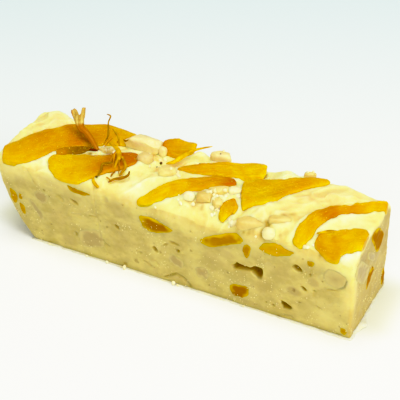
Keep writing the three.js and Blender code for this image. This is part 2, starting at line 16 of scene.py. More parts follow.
import bmesh
import bpy
import numpy as np
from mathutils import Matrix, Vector

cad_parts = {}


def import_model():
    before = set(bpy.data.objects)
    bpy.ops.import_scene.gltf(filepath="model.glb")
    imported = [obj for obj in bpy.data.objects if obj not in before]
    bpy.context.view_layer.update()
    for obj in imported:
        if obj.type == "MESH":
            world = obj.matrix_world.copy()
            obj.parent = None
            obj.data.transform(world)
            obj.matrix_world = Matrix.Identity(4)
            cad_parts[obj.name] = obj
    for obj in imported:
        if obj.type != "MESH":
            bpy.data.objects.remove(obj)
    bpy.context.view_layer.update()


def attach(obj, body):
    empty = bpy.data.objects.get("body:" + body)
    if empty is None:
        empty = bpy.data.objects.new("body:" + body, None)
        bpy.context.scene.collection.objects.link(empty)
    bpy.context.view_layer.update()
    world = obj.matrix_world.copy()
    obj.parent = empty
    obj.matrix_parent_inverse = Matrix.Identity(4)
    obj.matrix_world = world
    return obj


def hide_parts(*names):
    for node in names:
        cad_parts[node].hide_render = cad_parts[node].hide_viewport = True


LOG = logging.getLogger("nougat_bar")
MM = 0.001
BUMP_STRENGTH = 0.8
BODY = "root"

Array = np.ndarray
Point2 = tuple[float, float]
Point3 = tuple[float, float, float]
Colour = tuple[float, float, float]
Sockets = bpy.types.bpy_prop_collection
# Centre, spread and strength of a soft round patch.
PatchRow = tuple[float, float, float, float]
# Height, size of a lump and slice of the noise, for one layer of relief.
Layer = tuple[float, float | Point3, float]


class Slot(Enum):
    """The material slots."""

    NOUGAT = "nougat"
    FRUIT = "fruit"
    NUT = "nut"
    PETAL = "petal"
    WAFER = "wafer"


class CutFace(Enum):
    """The cut faces that fruit and nuts show in."""

    FRONT = "front"
    RIGHT_END = "right end"


# ------------------------------------------------------------------ numbers and noise


def bell(distance: Array | float, spread: Array | float) -> Array:
    """A bell curve that is 1 at distance 0."""
    return np.exp(-((distance / spread) ** 2))


def smooth_step(low: float, high: float, value: Array) -> Array:
    """0 below low, 1 above high, and an even S curve between them."""
    share = np.clip((value - low) / (high - low), 0.0, 1.0)
    return share * share * (3.0 - 2.0 * share)


def smooth_max(a: Array, b: Array, radius: Array | float) -> Array:
    """The larger of two distances, with the edge between them rounded.

    Args:
        a: Signed distance to the first form.
        b: Signed distance to the second form.
        radius: Size of the rounding.

    Returns:
        Signed distance to what the two forms share.
    """
    near = np.maximum(radius - np.abs(a - b), 0.0) / radius
    return np.maximum(a, b) + near * near * radius * 0.25


def spread_values(values: Sequence[float], share: Array) -> Array:
    """Values that are spread evenly from 0 to 1, read at each share."""
    return np.interp(share, np.linspace(0.0, 1.0, len(values)), values)


class LatticeNoise:
    """Smooth repeatable noise from -1 to 1, over a lattice of seeded random values."""

    SIZE = 64

    def __init__(self, seed: int) -> None:
        """Draws the lattice.

        Args:
            seed: Seed of the random values.
        """
        shape = (self.SIZE, self.SIZE, self.SIZE)
        self._values = np.random.default_rng(seed).uniform(-1.0, 1.0, shape).astype(np.float32)

    def __call__(self, scale: float | Point3, x: Array, y: Array, z: Array | float = 0.0) -> Array:
        """Reads the noise.

        Args:
            scale: Size of a lump, the same in all directions or one size for each.
            x: First coordinate.
            y: Second coordinate.
            z: Third coordinate.

        Returns:
            The noise at each place.
        """
        scales = scale if isinstance(scale, tuple) else (scale, scale, scale)
        low: list[Array] = []
        high: list[Array] = []
        share: list[Array] = []
        for place, size in zip((x, y, z), scales):
            cell = np.asarray(place, np.float64) / size + 0.5 * self.SIZE
            base = np.floor(cell)
            part = cell - base
            share.append((part * part * (3.0 - 2.0 * part)).astype(np.float32))
            low.append(base.astype(np.int64) % self.SIZE)
            high.append((base.astype(np.int64) + 1) % self.SIZE)
        total: Array | float = 0.0
        for ends in product((0, 1), repeat=3):
            weight: Array | float = 1.0
            for end, part in zip(ends, share):
                weight = weight * (part if end else 1.0 - part)
            place = tuple(h if end else l for end, l, h in zip(ends, low, high))
            total = total + weight * self._values[place]
        return total


def centripetal_curve(points: Sequence[Sequence[float]], share: Array, closed: bool = False) -> Array:
    """Places on the centripetal Catmull-Rom curve through the points.

    Args:
        points: The points, with two or three coordinates each.
        share: Where on the curve, from 0 to 1.
        closed: Whether the last point leads back to the first.

    Returns:
        One row for each share.
    """
    given = np.asarray(points, float)
    count = len(given)
    if closed:
        padded = np.vstack([given[-1], given, given[0], given[1]])
        spans = count
    else:
        padded = np.vstack([2 * given[0] - given[1], given, 2 * given[-1] - given[-2]])
        spans = count - 1
    place = np.clip(np.asarray(share, float), 0.0, 1.0) * spans
    span = np.minimum(place.astype(int), spans - 1)
    part = (place - span)[:, None]
    p0, p1, p2, p3 = (padded[span + i] for i in range(4))

    def step(a: Array, b: Array) -> Array:
        """The curve's own length between two neighbouring points."""
        return np.maximum(np.linalg.norm(b - a, axis=1), 1e-8)[:, None] ** 0.5

    d0, d1, d2 = step(p0, p1), step(p1, p2), step(p2, p3)
    start = ((p1 - p0) / d0 - (p2 - p0) / (d0 + d1) + (p2 - p1) / d1) * d1
    end = ((p2 - p1) / d1 - (p3 - p1) / (d1 + d2) + (p3 - p2) / d2) * d1
    c2 = -3 * p1 + 3 * p2 - 2 * start - end
    c3 = 2 * p1 - 2 * p2 + start + end
    return p1 + part * (start + part * (c2 + part * c3))


def tangents(line: Array) -> Array:
    """Unit directions along a line of points."""
    along = np.gradient(line, axis=0)
    return along / np.maximum(np.linalg.norm(along, axis=1, keepdims=True), 1e-9)


def lengths_along(line: Array) -> Array:
    """Length of a line of points from its start to each of them."""
    return np.concatenate([[0.0], np.cumsum(np.linalg.norm(np.diff(line, axis=0), axis=1))])


def outline_distance(corners: Array, a: Array, b: Array) -> Array:
    """Signed distance from each place to a closed outline, negative inside it.

    Args:
        corners: The outline's corners, one row each.
        a: First coordinate of the places.
        b: Second coordinate of the places.

    Returns:
        The distance at each place.
    """
    nearest = np.full(np.broadcast(a, b).shape, np.inf)
    inside = np.zeros(nearest.shape, bool)
    for (ax, ay), (bx, by) in zip(corners, np.roll(corners, -1, axis=0)):
        ex, ey = bx - ax, by - ay
        share = np.clip(((a - ax) * ex + (b - ay) * ey) / (ex * ex + ey * ey + 1e-12), 0.0, 1.0)
        nearest = np.minimum(nearest, (a - ax - share * ex) ** 2 + (b - ay - share * ey) ** 2)
        crosses = ((ay > b) != (by > b)) & (a < ex * (b - ay) / (ey + (1e-12 if ey >= 0 else -1e-12)) + ax)
        inside ^= crosses
    return np.where(inside, -1.0, 1.0) * np.sqrt(nearest)


def path_distance(points: Sequence[Point2], a: Array, b: Array) -> Array:
    """Distance from each place to an open path.

    Args:
        points: The path's points.
        a: First coordinate of the places.
        b: Second coordinate of the places.

    Returns:
        The distance at each place.
    """
    nearest = np.full(np.broadcast(a, b).shape, np.inf)
    for (ax, ay), (bx, by) in zip(points, points[1:]):
        ex, ey = bx - ax, by - ay
        share = np.clip(((a - ax) * ex + (b - ay) * ey) / (ex * ex + ey * ey), 0.0, 1.0)
        nearest = np.minimum(nearest, np.hypot(a - ax - share * ex, b - ay - share * ey))
    return nearest


# ------------------------------------------------------------------ meshes


def linked(name: str, data: bpy.types.ID) -> bpy.types.Object:
    """A new object that stands in the scene.

    Args:
        name: Name of the object.
        data: Its mesh, light or camera.

    Returns:
        The object.
    """
    made = bpy.data.objects.new(name, data)
    bpy.context.scene.collection.objects.link(made)
    return made


def make_object(name: str, vertices: Array, faces: Array | Sequence[Sequence[int]]) -> bpy.types.Object:
    """A smooth-shaded mesh object at the origin.

    Args:
        name: Name of the object.
        vertices: Places in millimetres, one row each.
        faces: Corner numbers of each face.

    Returns:
        The object, linked to the scene.
    """
    mesh = bpy.data.meshes.new(name)
    sizes = np.array([len(face) for face in faces], np.int32)
    corners = np.concatenate([np.asarray(face, np.int32) for face in faces])
    mesh.vertices.add(len(vertices))
    mesh.vertices.foreach_set("co", (np.asarray(vertices, np.float64) * MM).astype(np.float32).ravel())
    mesh.loops.add(len(corners))
    mesh.loops.foreach_set("vertex_index", corners)
    mesh.polygons.add(len(sizes))
    mesh.polygons.foreach_set("loop_start", np.concatenate([[0], np.cumsum(sizes)[:-1]]).astype(np.int32))
    mesh.polygons.foreach_set("use_smooth", np.ones(len(sizes), bool))
    mesh.update(calc_edges=True)
    mesh.validate()
    return linked(name, mesh)


def ball_mesh(fineness: int) -> tuple[Array, Array]:
    """An even ball of radius 1.

    Args:
        fineness: How often its triangles are split.

    Returns:
        Its vertices and its triangles.
    """
    ball = bmesh.new()
    bmesh.ops.create_icosphere(ball, subdivisions=fineness, radius=1.0)
    unit = np.array([v.co for v in ball.verts])
    faces = np.array([[v.index for v in face.verts] for face in ball.faces])
    ball.free()
    return unit, faces


def places(piece: bpy.types.Object) -> Array:
    """The piece's vertices in millimetres.

    Args:
        piece: The mesh object.

    Returns:
        One row for each vertex.
    """
    co = np.empty(len(piece.data.vertices) * 3, np.float32)
    piece.data.vertices.foreach_get("co", co)
    return co.reshape(-1, 3).astype(np.float64) / MM


def paint(piece: bpy.types.Object, name: str, values: Array) -> None:
    """Stores one number for each vertex, which a finish reads by name."""
    attribute = piece.data.attributes.new(name, "FLOAT", "POINT")
    attribute.data.foreach_set("value", np.asarray(values, np.float32))


def paint_tube(piece: bpy.types.Object, name: str, values: Array, ends: Sequence[float]) -> None:
    """Stores one number for each vertex of a tube.

    Args:
        piece: The tube.
        name: The name that its finish reads.
        values: The numbers of its rings.
        ends: The numbers of the middles of its two ends.
    """
    paint(piece, name, np.concatenate([values.ravel(), ends]))


def face_outwards(piece: bpy.types.Object) -> None:
    """Turns the faces of a closed mesh outwards.

    Args:
        piece: The mesh object.
    """
    work = bmesh.new()
    work.from_mesh(piece.data)
    bmesh.ops.recalc_face_normals(work, faces=work.faces)
    work.to_mesh(piece.data)
    work.free()


def ring_faces(rings: int, sides: int) -> Array:
    """Quads of a tube whose rings follow each other.

    Args:
        rings: How many rings there are.
        sides: How many points a ring has.

    Returns:
        One row of four corner numbers for each quad.
    """
    ring, side = np.meshgrid(np.arange(rings - 1), np.arange(sides), indexing="ij")
    a = ring * sides + side
    b = ring * sides + (side + 1) % sides
    return np.stack([a, b, b + sides, a + sides], -1).reshape(-1, 4)


def tube_object(name: str, rings: Array) -> bpy.types.Object:
    """A closed tube through rings, each end drawn together in its middle.

    Args:
        name: Name of the object.
        rings: Places, as rings by sides by three coordinates.

    Returns:
        The object.
    """
    count, sides, _ = rings.shape
    points = np.vstack([rings.reshape(-1, 3), rings[0].mean(0), rings[-1].mean(0)])
    faces = [tuple(quad) for quad in ring_faces(count, sides)]
    start, end, last = count * sides, count * sides + 1, (count - 1) * sides
    for side in range(sides):
        after = (side + 1) % sides
        faces.append((after, side, start))
        faces.append((last + side, last + after, end))
    piece = make_object(name, points, faces)
    face_outwards(piece)
    return piece


def finish_piece(
    piece: bpy.types.Object,
    material: bpy.types.Material,
    nodes: Iterable[str] = (),
) -> None:
    """Dresses a piece and hands it to the frame.

    Args:
        piece: The finished object.
        material: Its material.
        nodes: The solids that the piece stands for.
    """
    piece.data.materials.clear()
    piece.data.materials.append(material)
    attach(piece, BODY)
    names = tuple(nodes)
    if names:
        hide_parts(*names)
    LOG.info("%s: %d faces, stands for %s", piece.name, len(piece.data.polygons), ", ".join(names) or "none")


# ------------------------------------------------------------------ shader trees


def linear(red: int, green: int, blue: int) -> Colour:
    """A colour in the renderer's own linear values.

    Args:
        red: Red as it shows on a screen, from 0 to 255.
        green: Green in the same way.
        blue: Blue in the same way.

    Returns:
        The colour.
    """

    def decode(value: int) -> float:
        """One channel."""
        share = value / 255.0
        return share / 12.92 if share <= 0.04045 else ((share + 0.055) / 1.055) ** 2.4

    return decode(red), decode(green), decode(blue)


class Tree:
    """A node tree that is filled by short calls."""

    def __init__(self, tree: bpy.types.NodeTree) -> None:
        """Wraps a tree.

        Args:
            tree: The tree to fill.
        """
        self.tree = tree

    def add(
        self, kind: str, given: dict[str | int, object] | None = None, **settings: object
    ) -> bpy.types.Node:
        """Adds a node.

        Args:
            kind: The node's type.
            given: What goes into its inputs, by their name or number.
            **settings: The properties to set on it.

        Returns:
            The node.
        """
        node = self.tree.nodes.new(kind)
        for name, value in settings.items():
            setattr(node, name, value)
        for name, value in (given or {}).items():
            self.put(node.inputs[name], value)
        return node

    def put(self, socket: bpy.types.NodeSocket, value: object) -> None:
        """Links a socket to another one, or sets its value.

        Args:
            socket: The input socket.
            value: An output socket, a number, a vector or a colour.
        """
        if isinstance(value, bpy.types.NodeSocket):
            self.tree.links.new(value, socket)
        elif isinstance(value, tuple) and len(value) == 3 and socket.type == "RGBA":
            socket.default_value = (*value, 1.0)
        else:
            socket.default_value = value

    def math(self, operation: str, a: object, b: object = 0.0, clamp: bool = False) -> bpy.types.NodeSocket:
        """One step of arithmetic.

        Args:
            operation: What to do.
            a: First number or socket.
            b: Second number or socket.
            clamp: Whether the result is kept between 0 and 1.

        Returns:
            The result.
        """
        return self.add("ShaderNodeMath", {0: a, 1: b}, operation=operation, use_clamp=clamp).outputs[0]

    def vector(self, operation: str, a: object, b: object = (0.0, 0.0, 0.0)) -> bpy.types.NodeSocket:
        """One step of arithmetic on vectors.

        Args:
            operation: What to do.
            a: The vector.
            b: The second vector, or the factor where the operation is SCALE.

        Returns:
            The result, which is one number for DOT_PRODUCT and LENGTH.
        """
        second = "Scale" if operation == "SCALE" else 1
        node = self.add("ShaderNodeVectorMath", {0: a, second: b}, operation=operation)
        return node.outputs["Value" if operation in ("DOT_PRODUCT", "LENGTH") else "Vector"]

    def ramp(
        self, value: object, low: float, high: float, to_low: float = 0.0, to_high: float = 1.0
    ) -> bpy.types.NodeSocket:
        """An even S curve.

        Args:
            value: What the curve is read at.
            low: Where it starts.
            high: Where it ends.
            to_low: Its value at the start.
            to_high: Its value at the end.

        Returns:
            The curve's value.
        """
        given = dict(enumerate((value, low, high, to_low, to_high)))
        return self.add("ShaderNodeMapRange", given, interpolation_type="SMOOTHSTEP").outputs[0]

    def blend(self, share: object, first: object, second: object) -> bpy.types.NodeSocket:
        """Mixes two colours.

        Args:
            share: The share of the second colour.
            first: The first colour.
            second: The second colour.

        Returns:
            The mixed colour.
        """
        given = {0: share, 6: first, 7: second}
        return self.add("ShaderNodeMix", given, data_type="RGBA", clamp_result=True).outputs[2]

    def noise(
        self, place: object, scale: object, detail: float = 3.0, roughness: float = 0.5
    ) -> bpy.types.NodeSocket:
        """Fractal noise from 0 to 1.

        Args:
            place: Where it is read.
            scale: How fine it is.
            detail: How many finer layers it has.
            roughness: How strong the finer layers are.

        Returns:
            The noise.
        """
        given = {"Vector": place, "Scale": scale, "Detail": detail, "Roughness": roughness}
        return self.add("ShaderNodeTexNoise", given).outputs["Fac"]

    def painted(self, name: str) -> bpy.types.NodeSocket:
        """The number that a piece stores for each vertex."""
        return self.add("ShaderNodeAttribute", attribute_name=name).outputs["Fac"]

    def group(self, effect: bpy.types.NodeTree, **values: object) -> bpy.types.Node:
        """Places a shared effect.

        Args:
            effect: The effect's group.
            **values: The values of its inputs, with an underscore for each space in a name.

        Returns:
            The group's node.
        """
        node = self.add("ShaderNodeGroup", node_tree=effect)
        for name, value in values.items():
            self.put(node.inputs[name.replace("_", " ")], value)
        return node


def new_group(
    name: str, tree_kind: str, inputs: dict[str, str], outputs: dict[str, str]
) -> tuple[Tree, Sockets, Sockets]:
    """An empty node group with named sockets.

    Args:
        name: Name of the group.
        tree_kind: The type of its tree.
        inputs: The kind of each input by its name, such as Float.
        outputs: The kind of each output by its name.

    Returns:
        The tree, what comes in from its inputs and what goes out to its outputs.
    """
    group = bpy.data.node_groups.new(name, tree_kind)
    for side, sockets in (("INPUT", inputs), ("OUTPUT", outputs)):
        for label, kind in sockets.items():
            group.interface.new_socket(label, in_out=side, socket_type=f"NodeSocket{kind}")
    tree = Tree(group)
    return tree, tree.add("NodeGroupInput").outputs, tree.add("NodeGroupOutput").inputs


class Effects:
    """Shader effects that several finishes share. Each is built once."""

    def __init__(self) -> None:
        """Builds the groups."""
        self.mottle = self._mottle()
        self.pores = self._pores()
        self.surface_grain = self._surface_grain()
        self.fibres = self._fibres()

    def _mottle(self) -> bpy.types.NodeTree:
        """Colour that drifts between a light and a dark tone, in cloudy patches of two sizes.

        Returns:
            The group's tree.
        """
        tree, given, result = new_group(
            "Mottle",
            "ShaderNodeTree",
            {"Vector": "Vector", "Light": "Color", "Dark": "Color", "Patch Scale": "Float", "Share": "Float"},
            {"Color": "Color", "Mask": "Float"},
        )
        broad = tree.noise(given["Vector"], given["Patch Scale"], 2.0)
        fine = tree.noise(given["Vector"], tree.math("MULTIPLY", given["Patch Scale"], 4.3), 3.0, 0.6)
        both = tree.math("ADD", tree.math("MULTIPLY", broad, 0.7), tree.math("MULTIPLY", fine, 0.3))
        mask = tree.ramp(both, 0.36, 0.64)
        share = tree.math("MULTIPLY", mask, given["Share"], clamp=True)
        tree.put(result["Color"], tree.blend(share, given["Light"], given["Dark"]))
        tree.put(result["Mask"], mask)
        return tree.tree

    def _pores(self) -> bpy.types.NodeTree:
        """Small scattered pits: a mask that is 1 inside them.

        Returns:
            The group's tree.
        """
        tree, given, result = new_group(
            "Pores",
            "ShaderNodeTree",
            {"Vector": "Vector", "Scale": "Float", "Size": "Float", "Share": "Float"},
            {"Mask": "Float"},
        )
        place, scale = given["Vector"], given["Scale"]
        bend = tree.add("ShaderNodeTexNoise", {"Vector": place, "Scale": tree.math("MULTIPLY", scale, 1.7)})
        shift = tree.vector("SCALE", bend.outputs["Color"], tree.math("DIVIDE", 0.5, scale))
        bent = tree.vector("ADD", place, shift)
        cells = tree.add("ShaderNodeTexVoronoi", {"Vector": bent, "Scale": scale}, feature="F1")
        chosen = tree.add("ShaderNodeSeparateColor", {0: cells.outputs["Color"]}).outputs
        kept = tree.math("LESS_THAN", chosen[0], given["Share"])
        size = tree.math("MULTIPLY", given["Size"], tree.math("ADD", chosen[1], 0.4))
        inside = tree.math("SUBTRACT", 1.0, tree.math("DIVIDE", cells.outputs["Distance"], size), clamp=True)
        tree.put(result["Mask"], tree.math("MULTIPLY", tree.ramp(inside, 0.0, 0.45), kept))
        return tree.tree

    def _surface_grain(self) -> bpy.types.NodeTree:
        """Height of a fine uneven surface: small lumps with finer grain on them.

        Returns:
            The group's tree.
        """
        tree, given, result = new_group(
            "Surface Grain",
            "ShaderNodeTree",
            {"Vector": "Vector", "Lump Scale": "Float", "Grain Scale": "Float", "Grain Share": "Float"},
            {"Height": "Float"},
        )
        lumps = tree.noise(given["Vector"], given["Lump Scale"], 4.0, 0.55)
        grain = tree.noise(given["Vector"], given["Grain Scale"], 2.0, 0.6)
        height = tree.math("ADD", lumps, tree.math("MULTIPLY", grain, given["Grain Share"]))
        tree.put(result["Height"], height)
        return tree.tree

    def _fibres(self) -> bpy.types.NodeTree:
        """Height of fibres that run along a piece, by the lengths painted on it in millimetres.

        Returns:
            The group's tree.
        """
        lengths = {"Length": "Float", "Width": "Float"}
        tree, given, result = new_group("Fibres", "ShaderNodeTree", lengths, {"Height": "Float"})
        along = tree.math("MULTIPLY", tree.painted("along"), given["Length"])
        across = tree.math("MULTIPLY", tree.painted("across"), given["Width"])
        drawn = tree.add("ShaderNodeCombineXYZ", {0: along, 1: across})
        tree.put(result["Height"], tree.noise(drawn.outputs[0], 1.0, 4.0, 0.6))
        return tree.tree


class FinishTree(Tree):
    """A material's tree, with its shader, its object coordinates and the shared effects."""

    def __init__(self, name: str, effects: Effects | None = None) -> None:
        """Starts a material.

        Args:
            name: Name of the material.
            effects: The shared effects, where the finish uses them.
        """
        self.material = bpy.data.materials.new(name)
        self.material.use_nodes = True
        super().__init__(self.material.node_tree)
        self.effects = effects
        self.shader = self.tree.nodes["Principled BSDF"]
        self.place = self.add("ShaderNodeTexCoord").outputs["Object"]

    def two_tones(
        self, patch_scale: float, share: float, light: object, dark: Colour, place: object = None
    ) -> bpy.types.Node:
        """Lays a light and a dark tone in cloudy patches.

        Args:
            patch_scale: How fine the patches are.
            share: How strongly the dark tone shows.
            light: The light tone.
            dark: The dark tone.
            place: Where the patches are read, if not at the object coordinates.

        Returns:
            The node, with the outputs Color and Mask.
        """
        where = self.place if place is None else place
        tones = {"Light": light, "Dark": dark}
        return self.group(self.effects.mottle, Vector=where, Patch_Scale=patch_scale, Share=share, **tones)

    def grain(self, lump_scale: float, grain_scale: float, grain_share: float = 0.3) -> bpy.types.NodeSocket:
        """The height of small lumps with finer grain on them.

        Args:
            lump_scale: How fine the lumps are.
            grain_scale: How fine the grain is.
            grain_share: How high the grain is against the lumps.

        Returns:
            The height.
        """
        sizes = {"Lump_Scale": lump_scale, "Grain_Scale": grain_scale, "Grain_Share": grain_share}
        return self.group(self.effects.surface_grain, Vector=self.place, **sizes).outputs["Height"]

    def surface(self, colour: object, roughness: object, specular: float = 0.5) -> None:
        """Sets what the shader reflects.

        Args:
            colour: The colour.
            roughness: How dull the surface is.
            specular: How strong its highlights are.
        """
        self.put(self.shader.inputs["Base Color"], colour)
        self.put(self.shader.inputs["Roughness"], roughness)
        self.put(self.shader.inputs["Specular IOR Level"], specular)

    def bump(self, height: object, depth: float) -> None:
        """Lays fine relief on the surface.

        Args:
            height: The relief, from 0 to 1.
            depth: How deep it is, in millimetres.
        """
        given = {"Height": height, "Distance": depth * MM, "Strength": BUMP_STRENGTH}
        self.put(self.shader.inputs["Normal"], self.add("ShaderNodeBump", given).outputs["Normal"])

    def flesh(self, depth: float, radius: Colour, weight: float) -> None:
        """Lets light pass a little way into soft food.

        Args:
            depth: How far red light passes, in millimetres.
            radius: The share of that depth for each colour.
            weight: The share of the light that passes in.
        """
        self.put(self.shader.inputs["Subsurface Weight"], weight)
        self.put(self.shader.inputs["Subsurface Radius"], radius)
        self.put(self.shader.inputs["Subsurface Scale"], depth * MM)


# ------------------------------------------------------------------ finishes


@dataclass(frozen=True)
class Finish:
    """A surface finish, with the name of its material."""

    name: str

    def dress(self, tree: FinishTree) -> None:
        """Fills the material's tree, which each finish does in its own way."""
        raise NotImplementedError

    def build(self, effects: Effects) -> bpy.types.Material:
        """Builds the material.

        Args:
            effects: The shared effects.

        Returns:
            The material.
        """
        tree = FinishTree(self.name, effects)
        self.dress(tree)
        return tree.material


@dataclass(frozen=True)
class NougatFinish(Finish):
    """Soft nougat: a bright skin, cut faces denser and painted darker as shade, nuts that show through, and
    pores.
    """

    name: str = "soft_nougat"
    skin: Colour = linear(254, 240, 150)
    skin_warm: Colour = linear(246, 214, 116)
    # Painted highlight on the skin's crests and on its brightest patches.
    crest: Colour = linear(255, 253, 198)
    # Painted shade in the skin's creases.
    crevice: Colour = linear(234, 200, 104)
    # The cut faces' tone: their denser look, and painted shade as well, as these faces turn from the light.
    cut: Colour = linear(212, 194, 110)
    cut_dark: Colour = linear(172, 150, 74)
    nut_below: Colour = linear(176, 150, 86)
    peach: Colour = linear(238, 198, 112)
    # Painted shade on the right end face.
    end_cut: Colour = linear(180, 142, 50)
    # Painted shade in the skin's dips and creases and around the pieces on top.
    olive: Colour = linear(178, 142, 26)
    # Painted shade deep inside the pits and cavities of the front.
    hollow: Colour = linear(172, 124, 10)
    # Painted shade in the pores and specks of the cut faces.
    pore_shade: Colour = linear(138, 106, 34)
    # Painted shade along the foot of the bar.
    foot: Colour = linear(140, 124, 52)
    patch_scale: float = 210.0
    warm_share: float = 0.55
    dark_share: float = 0.62
    smear_scale: Point3 = (0.75, 1.0, 1.1)
    speck_strength: float = 0.7
    pore_shade_strength: float = 0.5
    pore_depth: float = 0.8
    relief: float = 0.34
    gloss: float = 0.48
    specular: float = 0.4
    depth: float = 2.0

    def dress(self, tree: FinishTree) -> None:
        """Fills the material's tree.

        Args:
            tree: The tree.
        """
        cut = tree.painted("cut")
        skin = tree.two_tones(self.patch_scale, self.warm_share, self.skin, self.skin_warm).outputs["Color"]
        # Painted highlight on the skin's crests and painted shade in its creases.
        for name, tone in (("crest", self.crest), ("crevice", self.crevice)):
            skin = tree.blend(tree.painted(name), skin, tone)
        smears = tree.vector("MULTIPLY", tree.place, self.smear_scale)
        face = tree.two_tones(self.patch_scale, self.dark_share, self.cut, self.cut_dark, smears)
        colour = tree.blend(cut, skin, face.outputs["Color"])
        # Nuts and peach patches are the nougat's own tones; the end face and the skin's dips get painted
        # shade.
        showing = {"end": self.end_cut, "nut": self.nut_below, "peach": self.peach, "olive": self.olive}
        for name, tone in showing.items():
            colour = tree.blend(tree.painted(name), colour, tone)
        pores = tree.group(tree.effects.pores, Vector=tree.place, Scale=520.0, Size=0.34, Share=0.14)
        specks = tree.group(tree.effects.pores, Vector=tree.place, Scale=1250.0, Size=0.3, Share=0.16)
        faint = tree.math("MULTIPLY", specks.outputs["Mask"], self.speck_strength)
        pitted = tree.math("MAXIMUM", pores.outputs["Mask"], faint)
        # Painted shade inside the pits of the cut faces.
        pore_shade_mask = tree.math("MULTIPLY", pitted, tree.math("MULTIPLY", cut, self.pore_shade_strength))
        colour = tree.blend(pore_shade_mask, colour, self.pore_shade)
        # Painted shade inside the front's pits and cavities, and along the bar's foot.
        for name, tone in (("hollow", self.hollow), ("foot", self.foot)):
            colour = tree.blend(tree.painted(name), colour, tone)
        pits = tree.math("MULTIPLY", pitted, tree.math("MULTIPLY", cut, -self.pore_depth))
        tree.surface(colour, self.gloss, self.specular)
        tree.bump(tree.math("ADD", tree.grain(lump_scale=560.0, grain_scale=2600.0), pits), self.relief)
        tree.flesh(self.depth, radius=(1.0, 0.78, 0.32), weight=1.0)


@dataclass(frozen=True)
class FruitFinish(Finish):
    """Dried sugared fruit: orange flesh, yellower at its thin edges, partly as painted light, with a soft
    gloss.
    """

    name: str = "dried_fruit"
    pale: Colour = linear(236, 196, 2)
    deep: Colour = linear(186, 98, 1)
    # The edge tone. On the strips it is partly the thin flesh's own paler tone and partly painted light
    # against the shade along their sides.
    edge: Colour = linear(243, 204, 3)
    glint: Colour = (1.0, 0.66, 0.1)
    fibre_tone: float = 0.55
    pale_until: float = 0.28
    gloss: float = 0.34
    gloss_spread: float = 0.16
    depth: float = 1.6
    relief: float = 0.36
    specular: float = 0.3

    def dress(self, tree: FinishTree) -> None:
        """Fills the material's tree.

        Args:
            tree: The tree.
        """
        fibres = tree.group(tree.effects.fibres, Length=0.3, Width=1.7).outputs["Height"]
        tone = tree.math("ADD", tree.painted("tone"), tree.math("MULTIPLY", fibres, self.fibre_tone))
        light = tree.blend(tree.math("SUBTRACT", tone, self.pale_until, True), self.pale, self.deep)
        shade = tree.two_tones(420.0, 0.26, light, self.deep)
        colour = tree.blend(tree.painted("edge"), shade.outputs["Color"], self.edge)
        roughness = tree.ramp(shade.outputs["Mask"], 0.0, 1.0, self.gloss, self.gloss + self.gloss_spread)
        tree.surface(colour, roughness, self.specular)
        tree.put(tree.shader.inputs["Specular Tint"], self.glint)
        grain = tree.grain(lump_scale=900.0, grain_scale=3600.0, grain_share=0.4)
        tree.bump(tree.math("SUBTRACT", grain, fibres), self.relief)
        tree.flesh(self.depth, radius=(1.0, 0.6, 0.05), weight=0.75)


@dataclass(frozen=True)
class NutFinish(Finish):
    """Chopped nut: waxy pale flesh with faint darker grain."""

    name: str = "nut_flesh"
    pale: Colour = linear(250, 228, 140)
    deep: Colour = linear(206, 172, 76)
    edge: Colour = linear(255, 246, 196)
    gloss: float = 0.38
    depth: float = 1.4
    relief: float = 0.16

    def dress(self, tree: FinishTree) -> None:
        """Fills the material's tree.

        Args:
            tree: The tree.
        """
        colour = tree.two_tones(330.0, 0.5, self.pale, self.deep).outputs["Color"]
        for name, tone in (("tone", self.deep), ("edge", self.edge)):
            colour = tree.blend(tree.painted(name), colour, tone)
        tree.surface(colour, self.gloss)
        tree.bump(tree.grain(lump_scale=600.0, grain_scale=2800.0), self.relief)
        tree.flesh(self.depth, radius=(1.0, 0.75, 0.4), weight=0.7)


@dataclass(frozen=True)
class PetalFinish(Finish):
    """Dried petal: thin, veined along its length, and browner in patches."""

    name: str = "dried_petal"
    pale: Colour = linear(250, 200, 8)
    deep: Colour = linear(140, 84, 2)
    veins: float = 2400.0
    gloss: float = 0.6
    specular: float = 0.12
    relief: float = 0.08
    depth: float = 0.3
    flesh: float = 0.2

    def dress(self, tree: FinishTree) -> None:
        """Fills the material's tree.

        Args:
            tree: The tree.
        """
        light = tree.blend(tree.painted("tone"), self.pale, self.deep)
        shade = tree.two_tones(700.0, 0.4, light, self.deep)
        tree.surface(shade.outputs["Color"], self.gloss, self.specular)
        tree.bump(tree.grain(lump_scale=1500.0, grain_scale=self.veins), self.relief)
        tree.flesh(self.depth, radius=(1.0, 0.6, 0.1), weight=self.flesh)


@dataclass(frozen=True)
class WaferFinish(Finish):
    """Wafer paper: thin, pale and matt."""

    name: str = "wafer_sheet"
    pale: Colour = linear(244, 238, 205)
    deep: Colour = linear(222, 212, 160)
    gloss: float = 0.7
    relief: float = 0.1
    depth: float = 0.8

    def dress(self, tree: FinishTree) -> None:
        """Fills the material's tree.

        Args:
            tree: The tree.
        """
        tree.surface(tree.two_tones(500.0, 0.5, self.pale, self.deep).outputs["Color"], self.gloss)
        tree.bump(tree.grain(lump_scale=900.0, grain_scale=4000.0), self.relief)
        tree.flesh(self.depth, radius=(1.0, 0.85, 0.5), weight=0.6)


@dataclass(frozen=True)
class GrainFinish(Finish):
    """Small hard bits, such as sugar crystals, crumbs and specks."""

    pale: Colour
    deep: Colour
    gloss: float
    depth: float = 0.4

    def dress(self, tree: FinishTree) -> None:
        """Fills the material's tree.

        Args:
            tree: The tree.
        """
        tree.surface(tree.two_tones(900.0, 0.8, self.pale, self.deep).outputs["Color"], self.gloss)
        tree.flesh(self.depth, radius=(1.0, 0.85, 0.5), weight=0.35)


# ------------------------------------------------------------------ the bar's form


